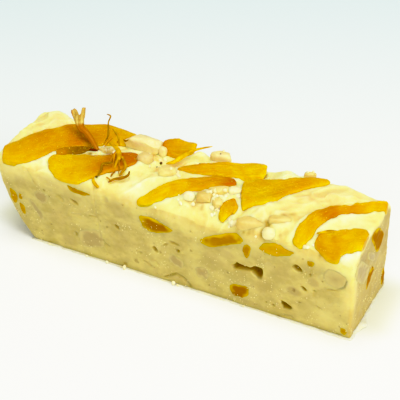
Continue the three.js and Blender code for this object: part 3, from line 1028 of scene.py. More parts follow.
@dataclass(frozen=True)
class BarForm:
    """The nougat's outer form, with the driving sizes of its solid.

    front_dips and back_swells are x, change of height and spread. lumps are x, y, height, spread along x
    and spread along y.
    """

    length: float = 110.0
    width: float = 27.5
    front_rim: float = 25.0
    back_height: float = 27.0
    roll_off: float = 0.4
    back_reach: float = 2.6
    back_drop: float = 1.4
    right_lean: float = 0.022
    lean_foot: float = 46.0
    lean_reach: float = 14.0
    lean_rise: float = 14.0
    front_dips: tuple[Point3, ...] = ((-32, -0.6, 5), (-8, -2.9, 7), (14, -3.5, 12), (42, -1.6, 10))
    back_swells: tuple[Point3, ...] = ((-57, 0.8, 10), (-10, -0.4, 8), (38, 1.9, 18))
    lumps: tuple[tuple[float, float, float, float, float], ...] = (
        (-51.5, 10.5, 2.2, 4.5, 5),
        (-47, 9, 0.9, 7, 6),
        (-8, -4, 0.8, 9, 5),
        (-2, 11, 1.9, 4.2, 3.5),
        (26.5, -5.6, 1.2, 4.4, 2.8),
        (34, 0.6, 1.2, 4.4, 3),
        (43, 5.6, 1, 5, 2.8),
        (46, -1, 0.6, 6, 3),
        (53.4, -10.4, 0.8, 1.8, 1.6),
        (24.5, 11, 2, 4, 4),
        (42, 9.4, 1.5, 6, 4.5),
    )

    @property
    def front(self) -> float:
        """Where the front face is."""
        return -self.width / 2

    @property
    def right_end(self) -> float:
        """Where the right end's foot is."""
        return self.length / 2

    def top(self, x: Array, y: Array) -> Array:
        """Height of the nougat's top, without its relief.

        Args:
            x: First coordinate.
            y: Second coordinate.

        Returns:
            The height at each place.
        """
        across = np.clip((y - self.front) / self.width, 0.0, 1.0)
        rise = np.where(across < self.roll_off, 1.0 - (1.0 - across / self.roll_off) ** 2, 1.0)
        front = self.front_rim + sum(up * bell(x - at, spread) for at, up, spread in self.front_dips)
        back = self.back_height + sum(up * bell(x - at, spread) for at, up, spread in self.back_swells)
        past = np.maximum(0.0, y - (self.width / 2 - self.back_reach)) / self.back_reach
        lumps = sum(h * bell(x - lx, sx) * bell(y - ly, sy) for lx, ly, h, sx, sy in self.lumps)
        return front + (back - front) * rise + lumps - self.back_drop * np.minimum(past, 1.5) ** 2

    def left_end(self, z: Array) -> Array:
        """Where the leaning left end is at height z."""
        return -self.lean_foot - self.lean_reach * (1.0 - np.exp(-np.maximum(z, 0.0) / self.lean_rise))

    def right_end_at(self, z: Array) -> Array:
        """Where the right end is at height z."""
        return self.right_end - self.right_lean * z


FORM = BarForm()
RELIEF = LatticeNoise(3)
# The cosine and sine of the way that the top's folds run, seen from above.
FOLD_DIRECTION = (0.82, 0.57)
# The relief of the nougat's faces and of the wafer paper's torn edge.
TOP_SWELLS: tuple[Layer, ...] = ((0.3, 5.0, 11.0), (0.2, 2.3, 21.0))
TOP_LUMPS: tuple[Layer, ...] = ((0.11, 1.2, 25.0), (0.05, 0.65, 27.0))
FRONT_SAG: tuple[Layer, ...] = ((0.16, 6.5, 2.0), (0.1, 2.2, 9.0), (0.04, 0.9, 14.0))
FRONT_SMEAR: tuple[Layer, ...] = ((0.04, (4.0, 0.9, 1.0), 30.0),)
END_SAG: tuple[Layer, ...] = ((0.2, 4.5, 40.0),)
END_LUMPS: tuple[Layer, ...] = ((0.14, 1.5, 47.0), (0.07, 0.7, 52.0))
BACK_SAG: tuple[Layer, ...] = ((0.2, 6.0, 60.0), (0.08, 2.0, 66.0))
LEFT_SAG: tuple[Layer, ...] = ((0.2, 5.0, 80.0), (0.08, 1.8, 90.0))
TORN_EDGE: tuple[Layer, ...] = ((1.0, 1.3, 70.0), (0.5, 0.5, 75.0))


@dataclass(frozen=True)
class Groove:
    """A crease in the front face: its path as x, z, its depth and its width."""

    path: tuple[Point2, ...]
    depth: float
    width: float


GROOVES = (
    Groove(((-23.7, 25.0), (-23.0, 15.9), (-21.8, 7.6), (-21.0, 4.3)), 0.22, 0.45),
    Groove(((-1.1, 1.5), (2.8, 3.9), (5.3, 3.2), (7.2, 1.2)), 0.8, 0.5),
    Groove(((-7.6, 4.9), (-6.4, 4.5), (-4.8, 3.8)), 0.7, 0.4),
    Groove(((-4.4, 6.3), (-3.4, 5.9), (-2.6, 5.2)), 0.5, 0.35),
    Groove(((-31.6, 13.7), (-29.8, 13.9), (-28.2, 13.8)), 0.5, 0.35),
    Groove(((-25.7, 14.7), (-24.2, 15.1), (-23.0, 15.0)), 0.45, 0.3),
    Groove(((-21.1, 7.8), (-20.4, 6.6), (-19.2, 6.2)), 0.5, 0.35),
    Groove(((46.8, 14.4), (49.6, 14.6), (51.8, 16.6), (52.3, 18.6)), 0.5, 0.3),
    Groove(((-46.8, 24.6), (-45.4, 22.4), (-44.2, 20.6)), 0.45, 0.5),
    Groove(((35.9, 1.7), (37.4, 1.9), (38.6, 1.6)), 0.5, 0.4),
)


def layered(layers: Sequence[Layer], a: Array, b: Array, base: float = 0.0) -> Array:
    """The sum of several layers of relief.

    Args:
        layers: The layers.
        a: First coordinate of the places.
        b: Second coordinate of the places.
        base: What the layers are added to.

    Returns:
        The sum at each place.
    """
    return sum((height * RELIEF(size, a, b, cut) for height, size, cut in layers), base)


def patches(rows: Sequence[PatchRow], a: Array, b: Array) -> Array:
    """The sum of round soft patches.

    Args:
        rows: Centre, spread and strength of each patch.
        a: First coordinate of the places.
        b: Second coordinate of the places.

    Returns:
        The sum at each place.
    """
    return sum(strength * bell(np.hypot(a - at_a, b - at_b), spread) for at_a, at_b, spread, strength in rows)


def front_relief(x: Array, z: Array) -> Array:
    """How far the cut front lies behind its flat plane.

    Args:
        x: Places along the bar.
        z: Heights.

    Returns:
        The distance at each place.
    """
    creases = sum(g.depth * bell(path_distance(g.path, x, z), 0.6 * g.width) for g in GROOVES)
    return 0.1 + layered(FRONT_SAG, x, z) + layered(FRONT_SMEAR, x, z) + creases


def top_relief(x: Array, y: Array) -> Array:
    """Swells, lumps and torn folds of the rough top. The folds run the way the strips lie.

    Args:
        x: Places along the bar.
        y: Places across it.

    Returns:
        What the relief adds to the height at each place.
    """
    cos, sin = FOLD_DIRECTION
    along, across = cos * x + sin * y, cos * y - sin * x
    warp = 1.3 * RELIEF(3.5, x, y, 31.0)
    fold = (1.0 - np.abs(RELIEF((7.0, 2.7, 1.0), along + warp, across + warp, 35.0))) ** 4
    return layered(TOP_SWELLS, x, y) + layered(TOP_LUMPS, x, y) + 0.5 * fold - 0.14


def softened(heights: Array, rounds: int) -> Array:
    """A grid of heights with its fine relief smoothed away.

    Args:
        heights: The grid.
        rounds: How often each height moves towards its neighbours.

    Returns:
        The smoothed grid.
    """
    for _ in range(rounds):
        for axis in (0, 1):
            around = np.roll(heights, 1, axis) + np.roll(heights, -1, axis)
            heights = 0.5 * heights + 0.25 * around
    return heights


def end_relief(y: Array, z: Array) -> Array:
    """How far the cut right end lies inside its flat plane."""
    return layered(END_SAG, y, z, 0.12) + layered(END_LUMPS, y, z)


def back_relief(x: Array, z: Array) -> Array:
    """How far the cut back lies inside its flat plane."""
    return layered(BACK_SAG, x, z, 0.15)


# ------------------------------------------------------------------ strips of fruit


@dataclass(frozen=True)
class FruitStrip:
    """A strip of dried fruit that drapes over the nougat.

    Rolls are in degrees. Values in a row are spread evenly along the path. The tongue is a lobe that hangs
    over the near edge: where it is along the path, how far it reaches and its spread.
    """

    name: str
    path: tuple[Point2, ...]
    widths: tuple[float, ...]
    rolls: tuple[float, ...]
    thickness: float
    lifts: tuple[float, ...]
    tones: tuple[float, ...]
    fibres: float = 0.5
    lip: float = 0.4
    end_rounding: float = 1.1
    tongue: tuple[float, float, float] = (0.5, 0.0, 0.1)
    end_fullness: float = 0.8
    stations: int = 110
    sides: int = 56
    corner_power: float = 0.7
    sunk_corner: float = 0.3
    least_width: float = 0.3
    width_wobble: float = 0.07
    wobble_length: float = 3.5
    ridge_height: float = 0.16
    lump_height: float = 0.14
    lump_tone: float = 0.25
    # Painted light along the thin sides, added to their own paler tone.
    edge_light_share: float = 0.45
    edge_from: float = 0.72
    end_edge: float = 0.2
    # Tones above 1 are darker than the deep tone; they paint shade where a strip lies in shade.
    darkest: float = 1.3
    past_front: float = 0.12
    past_end: float = 0.1

    @property
    def node(self) -> str:
        """The solid that this strip stands for."""
        return f"fruit_strip_{self.name}"

    def end_shape(self, share: Array) -> Array:
        """How far the strip is drawn in near its two ends."""
        inner = np.sqrt(np.minimum(1.0, 8.0 * np.minimum(share, 1.0 - share)))
        return self.end_fullness + (1.0 - self.end_fullness) * inner

    def half_width(self, share: Array) -> Array:
        """Half the strip's width along it."""
        return spread_values(self.widths, share) / 2.0 * self.end_shape(share)

    def build(self, seed: int) -> bpy.types.Object:
        """Sweeps the strip's section along its path.

        Args:
            seed: Number of the strip, which sets its unevenness apart.

        Returns:
            The strip, with its tone and edge painted on.
        """
        even = np.linspace(0.0, 1.0, self.stations)
        share = 0.5 * (even + 0.5 - 0.5 * np.cos(np.pi * even))
        middle = centripetal_curve(self.path, share)
        along = tangents(middle)
        side = np.stack([-along[:, 1], along[:, 0]], -1)
        travelled = lengths_along(middle)
        from_end = np.minimum(travelled, travelled[-1] - travelled)
        cap = np.sqrt(np.clip(1.0 - (1.0 - np.minimum(from_end / self.end_rounding, 1.0)) ** 2, 0.0, 1.0))
        own_line = 10.0 * seed + 0.0 * travelled
        wobble = 1.0 + self.width_wobble * RELIEF(self.wobble_length, travelled, own_line)
        half_width = self.half_width(share) * wobble * (self.least_width + (1.0 - self.least_width) * cap)
        half_thick = self.thickness / 2.0 * self.end_shape(share) * cap
        roll = np.radians(spread_values(self.rolls, share))[:, None]
        lift = spread_values(self.lifts, share)[:, None]

        angle = 2.0 * np.pi * (np.arange(self.sides) + 0.5) / self.sides
        cos = np.sign(np.cos(angle)) * np.abs(np.cos(angle)) ** self.corner_power
        sin = np.sign(np.sin(angle)) * np.abs(np.sin(angle)) ** self.corner_power
        sunk = np.where(sin < 0.0, np.sign(cos) * np.abs(cos) ** self.sunk_corner, cos)
        across = half_width[:, None] * sunk[None, :]
        rise = half_thick[:, None] * sin[None, :] * (1.0 - 0.12 * cos[None, :] ** 2)
        lengths = travelled[:, None] + 0.0 * across
        lumps = RELIEF(2.6, lengths, across, 5.0 * seed + 2.0)
        rise = rise + cap[:, None] * np.sign(rise) * self._unevenness(seed, lengths, across, lumps)
        edge_layers = ((0.25, 1.8, 7.0 * seed), (0.16, 0.6, 7.0 * seed + 2.0))
        edge_wave = layered(edge_layers, lengths, 4.0 * np.sign(across))
        across = across + cap[:, None] * np.sign(across) * edge_wave * np.abs(cos[None, :]) ** 3
        at, droop, spread = self.tongue
        droops = (droop * bell(share - at, spread))[:, None] * np.maximum(0.0, -cos[None, :]) ** 2
        across = across - droops

        reach = across * np.cos(roll) - rise * np.sin(roll)
        foot_x = middle[:, :1] + side[:, :1] * across * np.cos(roll)
        foot_y = middle[:, 1:] + side[:, 1:] * across * np.cos(roll)
        height = FORM.top(foot_x, foot_y) + lift + across * np.sin(roll) + rise * np.cos(roll) - 0.5 * droops
        x = middle[:, :1] + side[:, :1] * reach
        y = middle[:, 1:] + side[:, 1:] * reach
        x = np.minimum(x, FORM.right_end_at(height) + self.past_end)
        y = np.maximum(y, FORM.front - self.past_front)
        piece = tube_object(f"mango_{self.name}", np.stack([x, y, height], -1))

        tone = spread_values(self.tones, share)[:, None] + self.lump_tone * lumps
        # The sides' paler tone, partly painted light against the shade along them.
        thin = smooth_step(self.edge_from, 1.0, np.abs(cos))[None, :] * np.ones_like(across)
        edge = self.edge_light_share * thin * (1.0 - 0.5 * np.clip(tone, 0.0, 1.0))
        end_tones = np.clip(tone[np.array([0, -1])].mean(1), 0.0, self.darkest)
        paint_tube(piece, "tone", np.clip(tone, 0.0, self.darkest), end_tones)
        paint_tube(piece, "edge", edge, (self.end_edge, self.end_edge))
        paint_tube(piece, "along", lengths + 40.0 * seed, (0.0, travelled[-1]))
        paint_tube(piece, "across", across, (0.0, 0.0))
        return piece

    def _unevenness(self, seed: int, lengths: Array, across: Array, lumps: Array) -> Array:
        """Height of the fibres' ridges and of the lumps.

        Args:
            seed: Number of the strip.
            lengths: Places along the strip.
            across: Places across it.
            lumps: The lumps, from -1 to 1.

        Returns:
            The height at each place.
        """
        ridges = RELIEF((7.0, 0.9, 1.0), lengths, across, 5.0 * seed)
        return self.ridge_height * self.fibres * ridges + self.lump_height * lumps

    def plan_distance(self, x: Array, y: Array) -> Array:
        """Signed distance in plan from each place to the strip's outline.

        Args:
            x: Places along the bar.
            y: Places across it.

        Returns:
            The distance at each place, negative under the strip.
        """
        share = np.linspace(0.0, 1.0, 48)
        middle = centripetal_curve(self.path, share)
        roll = np.radians(spread_values(self.rolls, share))
        radius = self.half_width(share) * np.cos(roll)
        travelled = lengths_along(middle)
        from_end = np.minimum(travelled, travelled[-1] - travelled)
        radius = np.minimum(radius, from_end + 0.5)
        nearest = np.full(np.broadcast(x, y).shape, np.inf)
        for (mx, my), r in zip(middle, radius):
            nearest = np.minimum(nearest, np.hypot(x - mx, y - my) - r)
        return nearest


# The strips, each with its path as x, y.
STRIPS = (
    FruitStrip(
        name="back_left",
        path=((-55.6, -12.2), (-50.4, -9.3), (-45.5, -2.3), (-38.8, 4.1), (-31.8, 8.2), (-23.6, 10.7)),
        widths=(7, 9.4, 11.2, 9.6, 9.2, 6.2),
        rolls=(2, 4, 9, 15, 16, 10),
        thickness=2.4,
        lifts=(0.5, 0.6, 0.8, 1.1, 1.4, 1.2),
        tones=(0.25, 0.42, 0.6, 0.7, 0.45, 0.25),
        fibres=0.5,
        lip=0.4,
        end_rounding=0.6,
    ),
    FruitStrip(
        name="front_left",
        path=((-41.5, -8), (-36.8, -9), (-30.9, -8.1), (-25.1, -3.6), (-17.9, 3.2)),
        widths=(3.5, 9, 12.7, 10.8, 8.2),
        rolls=(0, 0, -2, -4, -4),
        thickness=2.0,
        lifts=(0.2, 0.2, 0.2),
        # The end near the nuts goes past the deep tone: the fruit's deeper tone there and painted shade from
        # the nuts over it.
        tones=(0.05, 0.15, 0.3, 0.85, 1.3),
        fibres=0.7,
        lip=0.7,
    ),
    FruitStrip(
        name="fold",
        path=((-41, -6), (-37.8, -3.2), (-34.4, -1.2), (-32.2, 0.2)),
        widths=(2.4, 3.8, 3.6, 2.4),
        rolls=(6, 12, 8),
        thickness=1.4,
        lifts=(0.5, 0.6, 0.5),
        # Dark tones: the fold's browner tone and painted shade in the joint between the strips.
        tones=(0.2, 0.9, 1.2, 1.2),
        lip=0.2,
        stations=44,
        sides=32,
    ),
    FruitStrip(
        name="standing",
        path=((-14.6, 9.8), (-9.8, 11), (-4, 11.8)),
        widths=(4, 6.8, 5),
        rolls=(48, 52, 46),
        thickness=2.2,
        lifts=(1.4, 2.2, 2.2),
        tones=(0.8, 0.4, 0.1),
        fibres=1.2,
        lip=0.3,
    ),
    FruitStrip(
        name="back_middle",
        path=((-5.4, 2.7), (0.6, 4.4), (6.2, 7.1), (12.4, 8.2), (19, 10.1)),
        widths=(2, 4.5, 5.8, 7.6, 8.8),
        rolls=(4, 8, 10, 12, 14),
        thickness=2.2,
        lifts=(0.4, 0.5, 0.6, 0.9, 1.8),
        tones=(0.5, 0.5, 0.35, 0.2, 0.0),
        fibres=2.2,
        lip=0.5,
        end_rounding=2.4,
    ),
    FruitStrip(
        name="middle",
        path=((-9.9, -12.7), (-5.6, -10.3), (-1.4, -7.1), (3.4, -3.3), (7.8, 0.9), (13.2, 2.5)),
        widths=(1.6, 3.7, 4.9, 5.2, 5.8, 3.4),
        rolls=(4, 10, 12, 10, 6, 4),
        thickness=2.0,
        lifts=(0.4, 0.4),
        tones=(0.0, 0.1, 0.25, 0.4, 0.7, 1.0),
        fibres=1.3,
        lip=0.6,
    ),
    FruitStrip(
        name="right_middle",
        path=((16.7, -1.8), (21.8, 0.4), (27.5, 5.2), (31.8, 9.4), (37, 12.2)),
        widths=(14.2, 13.6, 6, 4.6, 4),
        rolls=(0, 2, 6, 10, 8),
        thickness=2.2,
        lifts=(0.5, 0.5),
        tones=(0.1, 0.2, 0.35, 0.45, 0.1),
        fibres=0.9,
        lip=0.7,
    ),
    FruitStrip(
        name="scrap",
        path=((17.9, -6.4), (16, -7.9), (15.5, -9.7), (15.6, -11.4)),
        widths=(5.2, 4.8, 3, 1.8),
        rolls=(0, 4, 0),
        thickness=1.6,
        lifts=(0.5, 0.5),
        tones=(0.5, 0.4, 0.1),
        fibres=1.2,
        stations=50,
        sides=40,
    ),
    FruitStrip(
        name="right_back",
        path=((38, -13.3), (38.8, -9.6), (40.5, -5.6), (43.2, -2.2), (47, 1.7), (50.9, 6.5), (54.7, 9.7)),
        widths=(3.6, 4.8, 4.9, 4, 3.4, 3.3, 4.4),
        rolls=(0, 6, 14, 30, 52, 60, 60),
        thickness=1.8,
        lifts=(0.6, 0.5, 0.4, 0.5, 0.5, 0.6, 0.5),
        tones=(0.15, 0.3, 0.55, 0.75, 0.55, 0.35, 0.2),
        fibres=0.8,
        lip=0.6,
        end_rounding=0.7,
    ),
    FruitStrip(
        name="right_front",
        path=((42.4, -9.9), (46.3, -10.8), (50.2, -8.9), (55.2, -6)),
        widths=(3.6, 6.2, 7, 7.6),
        rolls=(4, 4, 2, 0),
        thickness=1.9,
        lifts=(0.4, 0.4),
        tones=(0.5, 0.3, 0.2, 0.3),
        fibres=0.6,
        lip=0.6,
        tongue=(0.42, 1.5, 0.07),
        end_rounding=0.6,
        stations=80,
    ),
)


# ------------------------------------------------------------------ nuts on top


@dataclass(frozen=True)
class TopNut:
    """A chopped nut that lies on the nougat.

    blocky bends the ball towards a box: 1 leaves it round. Each facet cuts the form off between the two
    shares in facet_reach. seat is how far the nougat rises round the nut. roughness gives, for each layer
    of lumps, their size, how far the noise shifts with each nut, and their height.
    """

    name: str
    at: Point2
    size: Point3
    turn: float
    lift: float
    blocky: float
    tone: float = 0.0
    facets: int = 9
    fineness: int = 5
    seat: float = 0.42
    edge: float = 0.0
    facet_reach: Point2 = (0.68, 0.93)
    facet_flatness: float = 0.92
    roughness: tuple[Point3, ...] = ((1.7, 20.0, 0.14), (0.6, 9.0, 0.09), (0.3, 5.0, 0.03))

    @property
    def node(self) -> str:
        """The solid that this nut stands for."""
        return f"nut_top_{self.name}"

    def build(self, seed: int) -> bpy.types.Object:
        """Shapes a ball into a nut with broken flat sides.

        Args:
            seed: Number of the nut, which sets its unevenness apart.

        Returns:
            The nut.
        """
        unit, faces = ball_mesh(self.fineness)
        shape = np.sign(unit) * np.abs(unit) ** self.blocky
        random = np.random.default_rng(100 + seed)
        for _ in range(self.facets):
            normal = random.normal(size=3)
            normal /= np.linalg.norm(normal)
            reach = random.uniform(*self.facet_reach) * (np.abs(normal) ** (2.0 - self.blocky)).sum()
            beyond = np.maximum(0.0, shape @ normal - reach)
            shape = shape - self.facet_flatness * beyond[:, None] * normal
        half = np.array(self.size) / 2.0
        point = shape * half
        broad, fine, grain = (
            RELIEF(size, *(point + shift * seed).T) * height for size, shift, height in self.roughness
        )
        point = point + unit * (broad + fine + grain)[:, None]
        turn = math.radians(self.turn)
        x = point[:, 0] * math.cos(turn) - point[:, 1] * math.sin(turn) + self.at[0]
        y = point[:, 0] * math.sin(turn) + point[:, 1] * math.cos(turn) + self.at[1]
        z = point[:, 2] + float(FORM.top(np.array(self.at[0]), np.array(self.at[1]))) + self.lift
        piece = make_object(f"nut_{self.name}", np.stack([x, y, z], -1), faces)
        paint(piece, "tone", np.full(len(x), self.tone))
        paint(piece, "edge", np.full(len(x), self.edge))
        return piece


# The nuts on top: name, place, size, turn in degrees, lift, blockiness, tone, facets, fineness and seat.
TOP_NUTS = (
    TopNut("chunk", (-19.8, 8.5), (11.6, 5, 4.8), 4, 1.9, 0.5, 0.2, 7, 6, edge=0.3),
    TopNut("round", (-15.7, 2.4), (4.8, 4.6, 3.8), 0, 1, 0.9, 0.9, edge=0.2),
    TopNut("back", (4, 12), (6.6, 3.4, 3.2), 12, 1.6, 0.6, 0.15, edge=0.2),
    TopNut("inner", (-28.2, 1.4), (4.2, 2.2, 2), 24, 0.8, 0.6, 0.2),
    TopNut("sunk", (-6.4, -1.4), (5.4, 4.8, 3.8), 20, 0.6, 0.8, 0.1),
    TopNut("bead", (4.2, -8.1), (3.5, 3, 2.8), 0, 0.8, 0.95, 0.0, 3, edge=0.6),
    TopNut("heap_left", (8.4, -7), (5, 3.6, 3), 15, 0.9, 0.6, 0.75),
    TopNut("heap_back", (11.2, -3.2), (6.8, 2.8, 2.4), 26, 0.7, 0.6, 0.3),
    TopNut("heap_front", (12.5, -7.4), (3, 3.2, 2.6), 40, 0.5, 0.7, 0.4),
    TopNut("half", (24.2, -10.3), (8.6, 4.4, 3.6), 18, -0.35, 0.55, 0.55, 4, 6, 1.0),
    TopNut("pea", (29.8, -12.2), (3.8, 3.2, 3.2), 0, 0.1, 0.95, 0.1, 2, edge=0.5),
    TopNut("crumb", (31.2, 12), (3.4, 2, 2.4), 20, 1.5, 0.6, 0.2),
    TopNut("block", (14.8, -2), (3.4, 2.6, 2.4), 35, 0.8, 0.6, 0.0, edge=0.5),
    TopNut("slab", (31.2, -8.3), (6.4, 3, 2.6), 22, -0.15, 0.55, 0.45, 4, 5, 0.8),
    TopNut("nub", (-13.2, 8.2), (2.6, 2.4, 3.4), 0, 1.3, 0.7, 0.0, edge=0.3),
)


# ------------------------------------------------------------------ fruit and nuts in the cut faces


@dataclass(frozen=True)
class Inclusion:
    """A piece of fruit or nut that the knife cut through: flush with the face, and reaching in.

    Its outline is given by corners, or by an oval's centre, length, height and tilt. rim_start and rim_bend
    let a piece near the rim follow the rim's rounding, and fade_from is where its edge tone sets in.
    """

    node: str
    kind: Slot
    face: CutFace
    corners: tuple[Point2, ...] = ()
    oval: tuple[float, ...] = ()
    tone: float = 0.5
    proud: float = 0.07
    depth: float = 5.0
    rim_start: float = 1.3
    rim_bend: float = 0.3
    fade_from: float = 0.5
    sides: int = 72
    rings: int = 14
    end_proud: float = 2.6
    edge_rounding: float = 0.16
    rounded_from: float = 0.88

    def outline(self) -> Array:
        """Makes the outline, closed and smooth.

        Returns:
            Places in the face's own two directions, one row each.
        """
        share = np.arange(self.sides) / self.sides
        if self.corners:
            return centripetal_curve(self.corners, share, closed=True)
        centre_a, centre_b, length, height, tilt = self.oval
        angle = 2.0 * np.pi * share
        a = length / 2.0 * np.cos(angle)
        b = height / 2.0 * np.sin(angle) * (1.0 + 0.18 * np.cos(2.0 * angle))
        cos, sin = math.cos(math.radians(tilt)), math.sin(math.radians(tilt))
        return np.stack([centre_a + a * cos - b * sin, centre_b + a * sin + b * cos], -1)

    def place(self, a: Array, b: Array, inward: Array) -> Array:
        """Turns the face's own coordinates into places.

        Args:
            a: Places along the face.
            b: Heights.
            inward: Depths behind the face.

        Returns:
            One row for each place.
        """
        if self.face is CutFace.FRONT:
            over = np.maximum(b - FORM.top(a, np.full_like(a, FORM.front)) + self.rim_start, 0.0)
            return np.stack([a, FORM.front + front_relief(a, b) + inward + self.rim_bend * over**2, b], -1)
        return np.stack([FORM.right_end_at(b) - end_relief(a, b) - inward, a, b], -1)

    def build(self, seed: int) -> bpy.types.Object:
        """Makes the cut side from rings about its middle, and the sides that reach in.

        Args:
            seed: Number of the piece, which sets its unevenness apart.

        Returns:
            The piece, with its tone and edge painted on.
        """
        outline = self.outline()
        middle = outline.mean(0)
        wave = layered(((0.22, 1.1, 3.0 * seed), (0.1, 0.5, 3.0 * seed + 2.0)), *outline.T)
        out = outline - middle
        length = np.linalg.norm(out, axis=1, keepdims=True)
        out = out * (1.0 + wave[:, None] / length)
        scales = np.linspace(0.06, 1.0, self.rings) ** 0.8
        rings = []
        for scale in scales:
            spot = middle + out * scale
            rounding = self.edge_rounding * smooth_step(self.rounded_from, 1.0, np.array(scale)) ** 2
            bumps = layered(((0.05, 1.3, 3.0 * seed + 1.0),), *spot.T)
            proud = self.proud * (self.end_proud if self.face is CutFace.RIGHT_END else 1.0)
            rings.append(self.place(spot[:, 0], spot[:, 1], bumps - proud + rounding))
        for scale, inward in ((1.0, 0.3 * self.depth), (0.55, self.depth)):
            spot = middle + out * scale
            rings.append(self.place(spot[:, 0], spot[:, 1], np.full(self.sides, inward)))
        name = self.node.replace("fruit_", "cut_mango_").replace("nut_", "cut_nut_")
        piece = tube_object(name, np.array(rings))
        shares = np.concatenate([np.repeat(scales, self.sides), np.ones(2 * self.sides), [0.0, 1.0]])
        at = places(piece)
        fade = smooth_step(self.fade_from, 0.98, shares + 0.3 * RELIEF(1.1, *at.T))
        paint(piece, "edge", np.clip(fade, 0.0, 1.0))
        paint(piece, "tone", np.full(len(shares), self.tone))
        paint(piece, "along", at[:, 1 if self.face is CutFace.RIGHT_END else 0])
        paint(piece, "across", at[:, 2])
        return piece


# Outlines of the fruit in the cut faces: x, z on the front, and y, z on the right end.
FRONT_FRUIT = {
    "wedge": ((-9, 19.7), (-3.2, 20.1), (2.2, 18.4), (1.4, 17.6), (-6.3, 15.8)),
    "long": ((9.8, 17.6), (14.9, 20.8), (22.6, 23), (23, 21.2), (18.8, 18.9), (12.8, 16.4)),
    "small": ((23, 20), (24.2, 21.2), (25.4, 20.6), (25.2, 18.4), (24.2, 16.2), (23.3, 17.8)),
    "leaf": (
        (27.7, 20.8), (28.7, 22.6), (31.2, 23.6), (34.2, 24.1), (36.4, 23.8),
        (37.8, 22.9), (37, 21.7), (34.3, 20.3), (30.6, 19.8),
    ),
    "bit": ((41.4, 21.6), (43.4, 21.4), (43, 19.9), (41.6, 20.1)),
    "cube": ((19.7, 6.1), (22.4, 6.9), (24.9, 7.2), (25.2, 4.2), (22.7, 2.8), (20, 3.2)),
    "corner": ((52, 3.4), (53.9, 2.6), (53.2, 1.2), (51.9, 1.7)),
    "rim": ((-32.2, 23.2), (-29.8, 22.9), (-24.4, 22.2), (-27, 21.1), (-31.8, 21.9)),
    "far_left": ((-53.2, 16.3), (-51, 15.4), (-50.8, 12), (-51.8, 11.6), (-52.9, 13.6)),
    "sliver": ((-49.7, 15.8), (-48.7, 14.8), (-49.1, 13.3), (-49.9, 13.5)),
    "low_left": ((-50, 12.2), (-48.2, 11.3), (-48.4, 8.2), (-49.6, 9.2)),
}
USUAL_FRUIT_TONE = 0.4
FRONT_FRUIT_TONES = {"wedge": 0.95, "long": 0.7, "small": 0.6, "leaf": 0.0, "cube": 1.0, "rim": 0.7}
END_FRUIT = {
    "large": ((-1.9, 25.7), (2.4, 26), (6.8, 22.8), (8.8, 19.7), (6.4, 18), (3.4, 17.6), (1.4, 20)),
    "thin": ((-2.6, 13.6), (-0.2, 15.2), (2.1, 13.2), (0.4, 12.2), (-1.7, 11.1), (-3.5, 10)),
    "edge": ((10.6, 7.2), (12.5, 6.6), (12.7, 2), (10.4, 2.2)),
}
# Ovals of the nuts in the cut faces: centre, length, height and tilt in degrees.
FRONT_NUTS = {
    "corner": (49.3, 18.2, 6.6, 6.6, -20),
    "dark": (-41.9, 16.4, 5, 4.6, -30),
    "slit": (-43.9, 11.4, 7.4, 2.4, -50),
    "large": (-25.2, 6.9, 9.4, 7.6, 18),
    "middle": (3, 8.3, 5, 3.8, -24),
    "low": (10.8, 7.1, 4.2, 4.6, 10),
}
END_NUTS = {"large": (-7.8, 18.2, 12.6, 6.6, -42), "narrow": (-0.9, 19, 7.6, 2.6, -40)}


def inclusions() -> list[Inclusion]:
    """Lists every piece that shows in a cut face.

    Returns:
        The pieces, fruit first.
    """
    front, end = CutFace.FRONT, CutFace.RIGHT_END
    made = []
    for name, corners in FRONT_FRUIT.items():
        tone = FRONT_FRUIT_TONES.get(name, USUAL_FRUIT_TONE)
        made.append(Inclusion(f"fruit_front_{name}", Slot.FRUIT, front, corners, tone=tone))
    for name, corners in END_FRUIT.items():
        made.append(Inclusion(f"fruit_end_{name}", Slot.FRUIT, end, corners, tone=1.0, fade_from=0.78))
    for name, oval in FRONT_NUTS.items():
        fade_from = -0.4 if name == "corner" else 0.5
        made.append(Inclusion(f"nut_front_{name}", Slot.NUT, front, oval=oval, fade_from=fade_from))
    for name, oval in END_NUTS.items():
        made.append(Inclusion(f"nut_end_{name}", Slot.NUT, end, oval=oval))
    return made


# ------------------------------------------------------------------ the nougat


@dataclass(frozen=True)
class Pit:
    """A hollow in the front face: centre x, z, length, height, tilt in degrees and depth."""

    x: float
    z: float
    length: float
    height: float
    tilt: float
    depth: float


@dataclass(frozen=True)
class Cavity:
    """A larger hole with an outline of its own, as x, z."""

    corners: tuple[Point2, ...]
    depth: float


PITS = (
    Pit(-30.3, 18.0, 3.0, 1.0, -22, 0.9),
    Pit(-34.9, 18.0, 2.6, 1.2, -30, 0.4),
    Pit(-16.2, 13.8, 2.1, 0.9, -30, 1.2),
    Pit(-30.9, 7.1, 1.6, 1.2, 0, 0.5),
    Pit(-20.0, 22.0, 2.2, 2.4, -40, 0.5),
    Pit(-13.8, 23.4, 2.6, 1.4, -30, 0.5),
    Pit(-3.9, 10.2, 2.3, 1.4, -40, 1.3),
    Pit(-0.6, 12.9, 2.4, 0.9, 40, 0.6),
    Pit(3.4, 12.0, 1.4, 0.8, 0, 1.1),
    Pit(2.3, 14.2, 3.2, 1.0, -8, 0.7),
    Pit(-8.8, 7.5, 1.8, 1.0, 0, 0.4),
    Pit(38.7, 17.9, 3.1, 1.9, -24, 2.2),
    Pit(40.9, 12.1, 2.1, 1.1, -30, 1.4),
    Pit(43.9, 12.4, 0.9, 0.7, 0, 0.8),
    Pit(45.3, 7.5, 1.9, 0.8, -20, 0.4),
    Pit(32.4, 3.5, 0.9, 0.8, 0, 0.8),
    Pit(42.4, 17.2, 0.8, 0.7, 0, 0.7),
)
